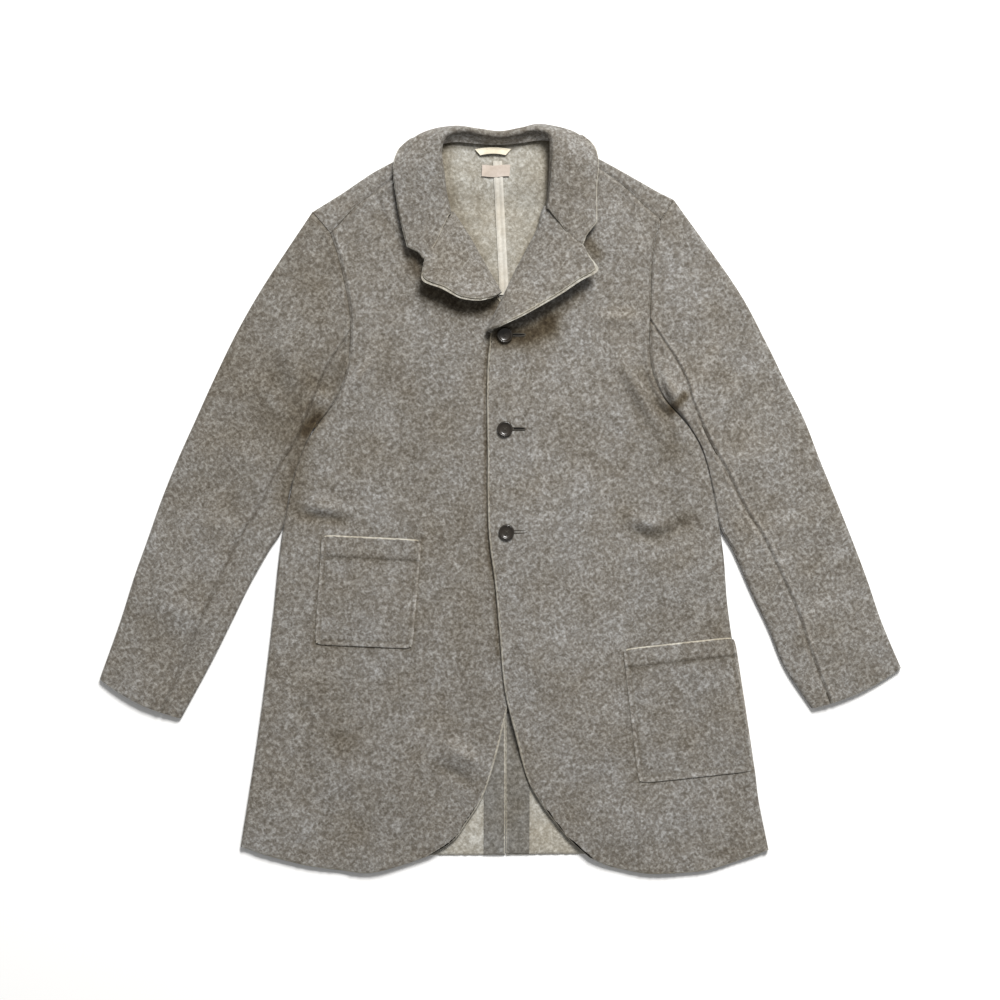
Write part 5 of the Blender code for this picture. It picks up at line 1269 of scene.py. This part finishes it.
def build_stage(settings):
    """Make the pale floor, the studio light and the overhead camera."""
    scene = bpy.context.scene
    material = plain_material("pale_floor", (0.96, 0.96, 0.96, 1.0), 0.9)
    mesh = bpy.data.meshes.new("floor")
    corners = [(-1.0, -1.0), (1.0, -1.0), (1.0, 1.0), (-1.0, 1.0)]
    mesh.from_pydata([(x * FLOOR_HALF_WIDTH, y * FLOOR_HALF_WIDTH, FLOOR_LEVEL) for x, y in corners], [],
                     [(0, 1, 2, 3)])
    mesh.materials.append(material)
    floor = bpy.data.objects.new("floor", mesh)
    scene.collection.objects.link(floor)
    world = bpy.data.worlds.new("studio")
    world.use_nodes = True
    world.node_tree.nodes["Background"].inputs["Color"].default_value = (1.0, 1.0, 1.0, 1.0)
    world.node_tree.nodes["Background"].inputs["Strength"].default_value = settings.ambient
    scene.world = world
    area_light("key", (0.9, 2.7, 3.2), (0.0, 0.0, 0.0), 1.4, settings.key_power, (1.0, 0.99, 0.97))
    scene.view_settings.view_transform = "Standard"
    data = bpy.data.cameras.new("overhead")
    data.lens = 85.0
    data.sensor_width = 36.0
    camera = bpy.data.objects.new("overhead", data)
    camera.location = (-0.0005, -0.0005, settings.camera_height)
    scene.collection.objects.link(camera)
    scene.camera = camera


class JacketSettings(PropertyGroup):
    """Sizes and strengths of the jacket and its stage."""

    cloth: FloatProperty(name="Cloth", description="Thickness of the boiled wool", default=0.0022,
                         unit="LENGTH", subtype="DISTANCE")
    cell: FloatProperty(name="Cell", description="Spacing of the surface grids", default=0.0030,
                        unit="LENGTH", subtype="DISTANCE")
    button: FloatProperty(name="Button", description="Diameter of a button", default=0.019,
                          unit="LENGTH", subtype="DISTANCE")
    nap: FloatProperty(name="Nap", description="Strength of the felted nap's relief", default=0.7)
    ambient: FloatProperty(name="Ambient", description="Strength of the light from all round", default=0.30)
    key_power: FloatProperty(name="Key", description="Power of the main light", default=265.0,
                             unit="POWER")
    camera_height: FloatProperty(name="Camera height", description="Height of the overhead camera",
                                 default=2.88, unit="LENGTH", subtype="DISTANCE")


class JACKET_OT_materials(Operator):
    """Make the materials of the jacket"""

    bl_idname = "jacket.materials"
    bl_label = "Jacket materials"

    def execute(self, context):
        make_materials(context.scene.jacket)
        return {"FINISHED"}


class JACKET_OT_backs(Operator):
    """Make both halves of the back"""

    bl_idname = "jacket.backs"
    bl_label = "Backs"

    def execute(self, context):
        build_back(False, context.scene.jacket)
        build_back(True, context.scene.jacket)
        return {"FINISHED"}


class JACKET_OT_fronts(Operator):
    """Make both fronts with their facings"""

    bl_idname = "jacket.fronts"
    bl_label = "Fronts"

    def execute(self, context):
        build_front(False, context.scene.jacket)
        build_front(True, context.scene.jacket)
        return {"FINISHED"}


class JACKET_OT_sleeves(Operator):
    """Make the top and under parts of both sleeves"""

    bl_idname = "jacket.sleeves"
    bl_label = "Sleeves"

    def execute(self, context):
        build_sleeve(False, context.scene.jacket)
        build_sleeve(True, context.scene.jacket)
        return {"FINISHED"}


class JACKET_OT_collar(Operator):
    """Make the under and the top collar"""

    bl_idname = "jacket.collar"
    bl_label = "Collar"

    def execute(self, context):
        build_collar(context.scene.jacket)
        return {"FINISHED"}


class JACKET_OT_pockets(Operator):
    """Make both patch pockets"""

    bl_idname = "jacket.pockets"
    bl_label = "Pockets"

    def execute(self, context):
        build_pocket("pocket_right", POCKET_RIGHT, False, POCKET_RIGHT_BAND, context.scene.jacket)
        build_pocket("pocket_left", POCKET_LEFT, True, POCKET_LEFT_BAND, context.scene.jacket)
        return {"FINISHED"}


class JACKET_OT_buttons(Operator):
    """Make the buttons and buttonholes"""

    bl_idname = "jacket.buttons"
    bl_label = "Buttons"

    def execute(self, context):
        build_buttons(context.scene.jacket)
        return {"FINISHED"}


class JACKET_OT_trim(Operator):
    """Make the tape, loop, label and vent facings"""

    bl_idname = "jacket.trim"
    bl_label = "Trim"

    def execute(self, context):
        build_trim()
        return {"FINISHED"}


class JACKET_OT_stage(Operator):
    """Make the floor, light and camera"""

    bl_idname = "jacket.stage"
    bl_label = "Stage"

    def execute(self, context):
        build_stage(context.scene.jacket)
        return {"FINISHED"}


class JACKET_PT_panel(Panel):
    """Panel with the settings and the pieces"""

    bl_idname = "JACKET_PT_panel"
    bl_label = "Wool jacket"
    bl_space_type = "VIEW_3D"
    bl_region_type = "UI"
    bl_category = "Jacket"

    def draw(self, context):
        for field in ("cloth", "cell", "button", "nap", "ambient", "key_power", "camera_height"):
            self.layout.prop(context.scene.jacket, field)
        for step in STEPS:
            self.layout.operator("jacket." + step)


STEPS = ("materials", "backs", "fronts", "sleeves", "collar", "pockets", "buttons", "trim", "stage")
CLASSES = (JacketSettings, JACKET_OT_materials, JACKET_OT_backs, JACKET_OT_fronts, JACKET_OT_sleeves,
           JACKET_OT_collar, JACKET_OT_pockets, JACKET_OT_buttons, JACKET_OT_trim, JACKET_OT_stage,
           JACKET_PT_panel)


def register():
    """Register the classes and hang the settings on the scene."""
    for item in CLASSES:
        bpy.utils.register_class(item)
    bpy.types.Scene.jacket = PointerProperty(type=JacketSettings)


def unregister():
    """Take the settings and classes away again."""
    del bpy.types.Scene.jacket
    for item in reversed(CLASSES):
        bpy.utils.unregister_class(item)


def main():
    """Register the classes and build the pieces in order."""
    register()
    for step in STEPS:
        getattr(bpy.ops.jacket, step)()
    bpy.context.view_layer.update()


if __name__ == "__main__":
    main()
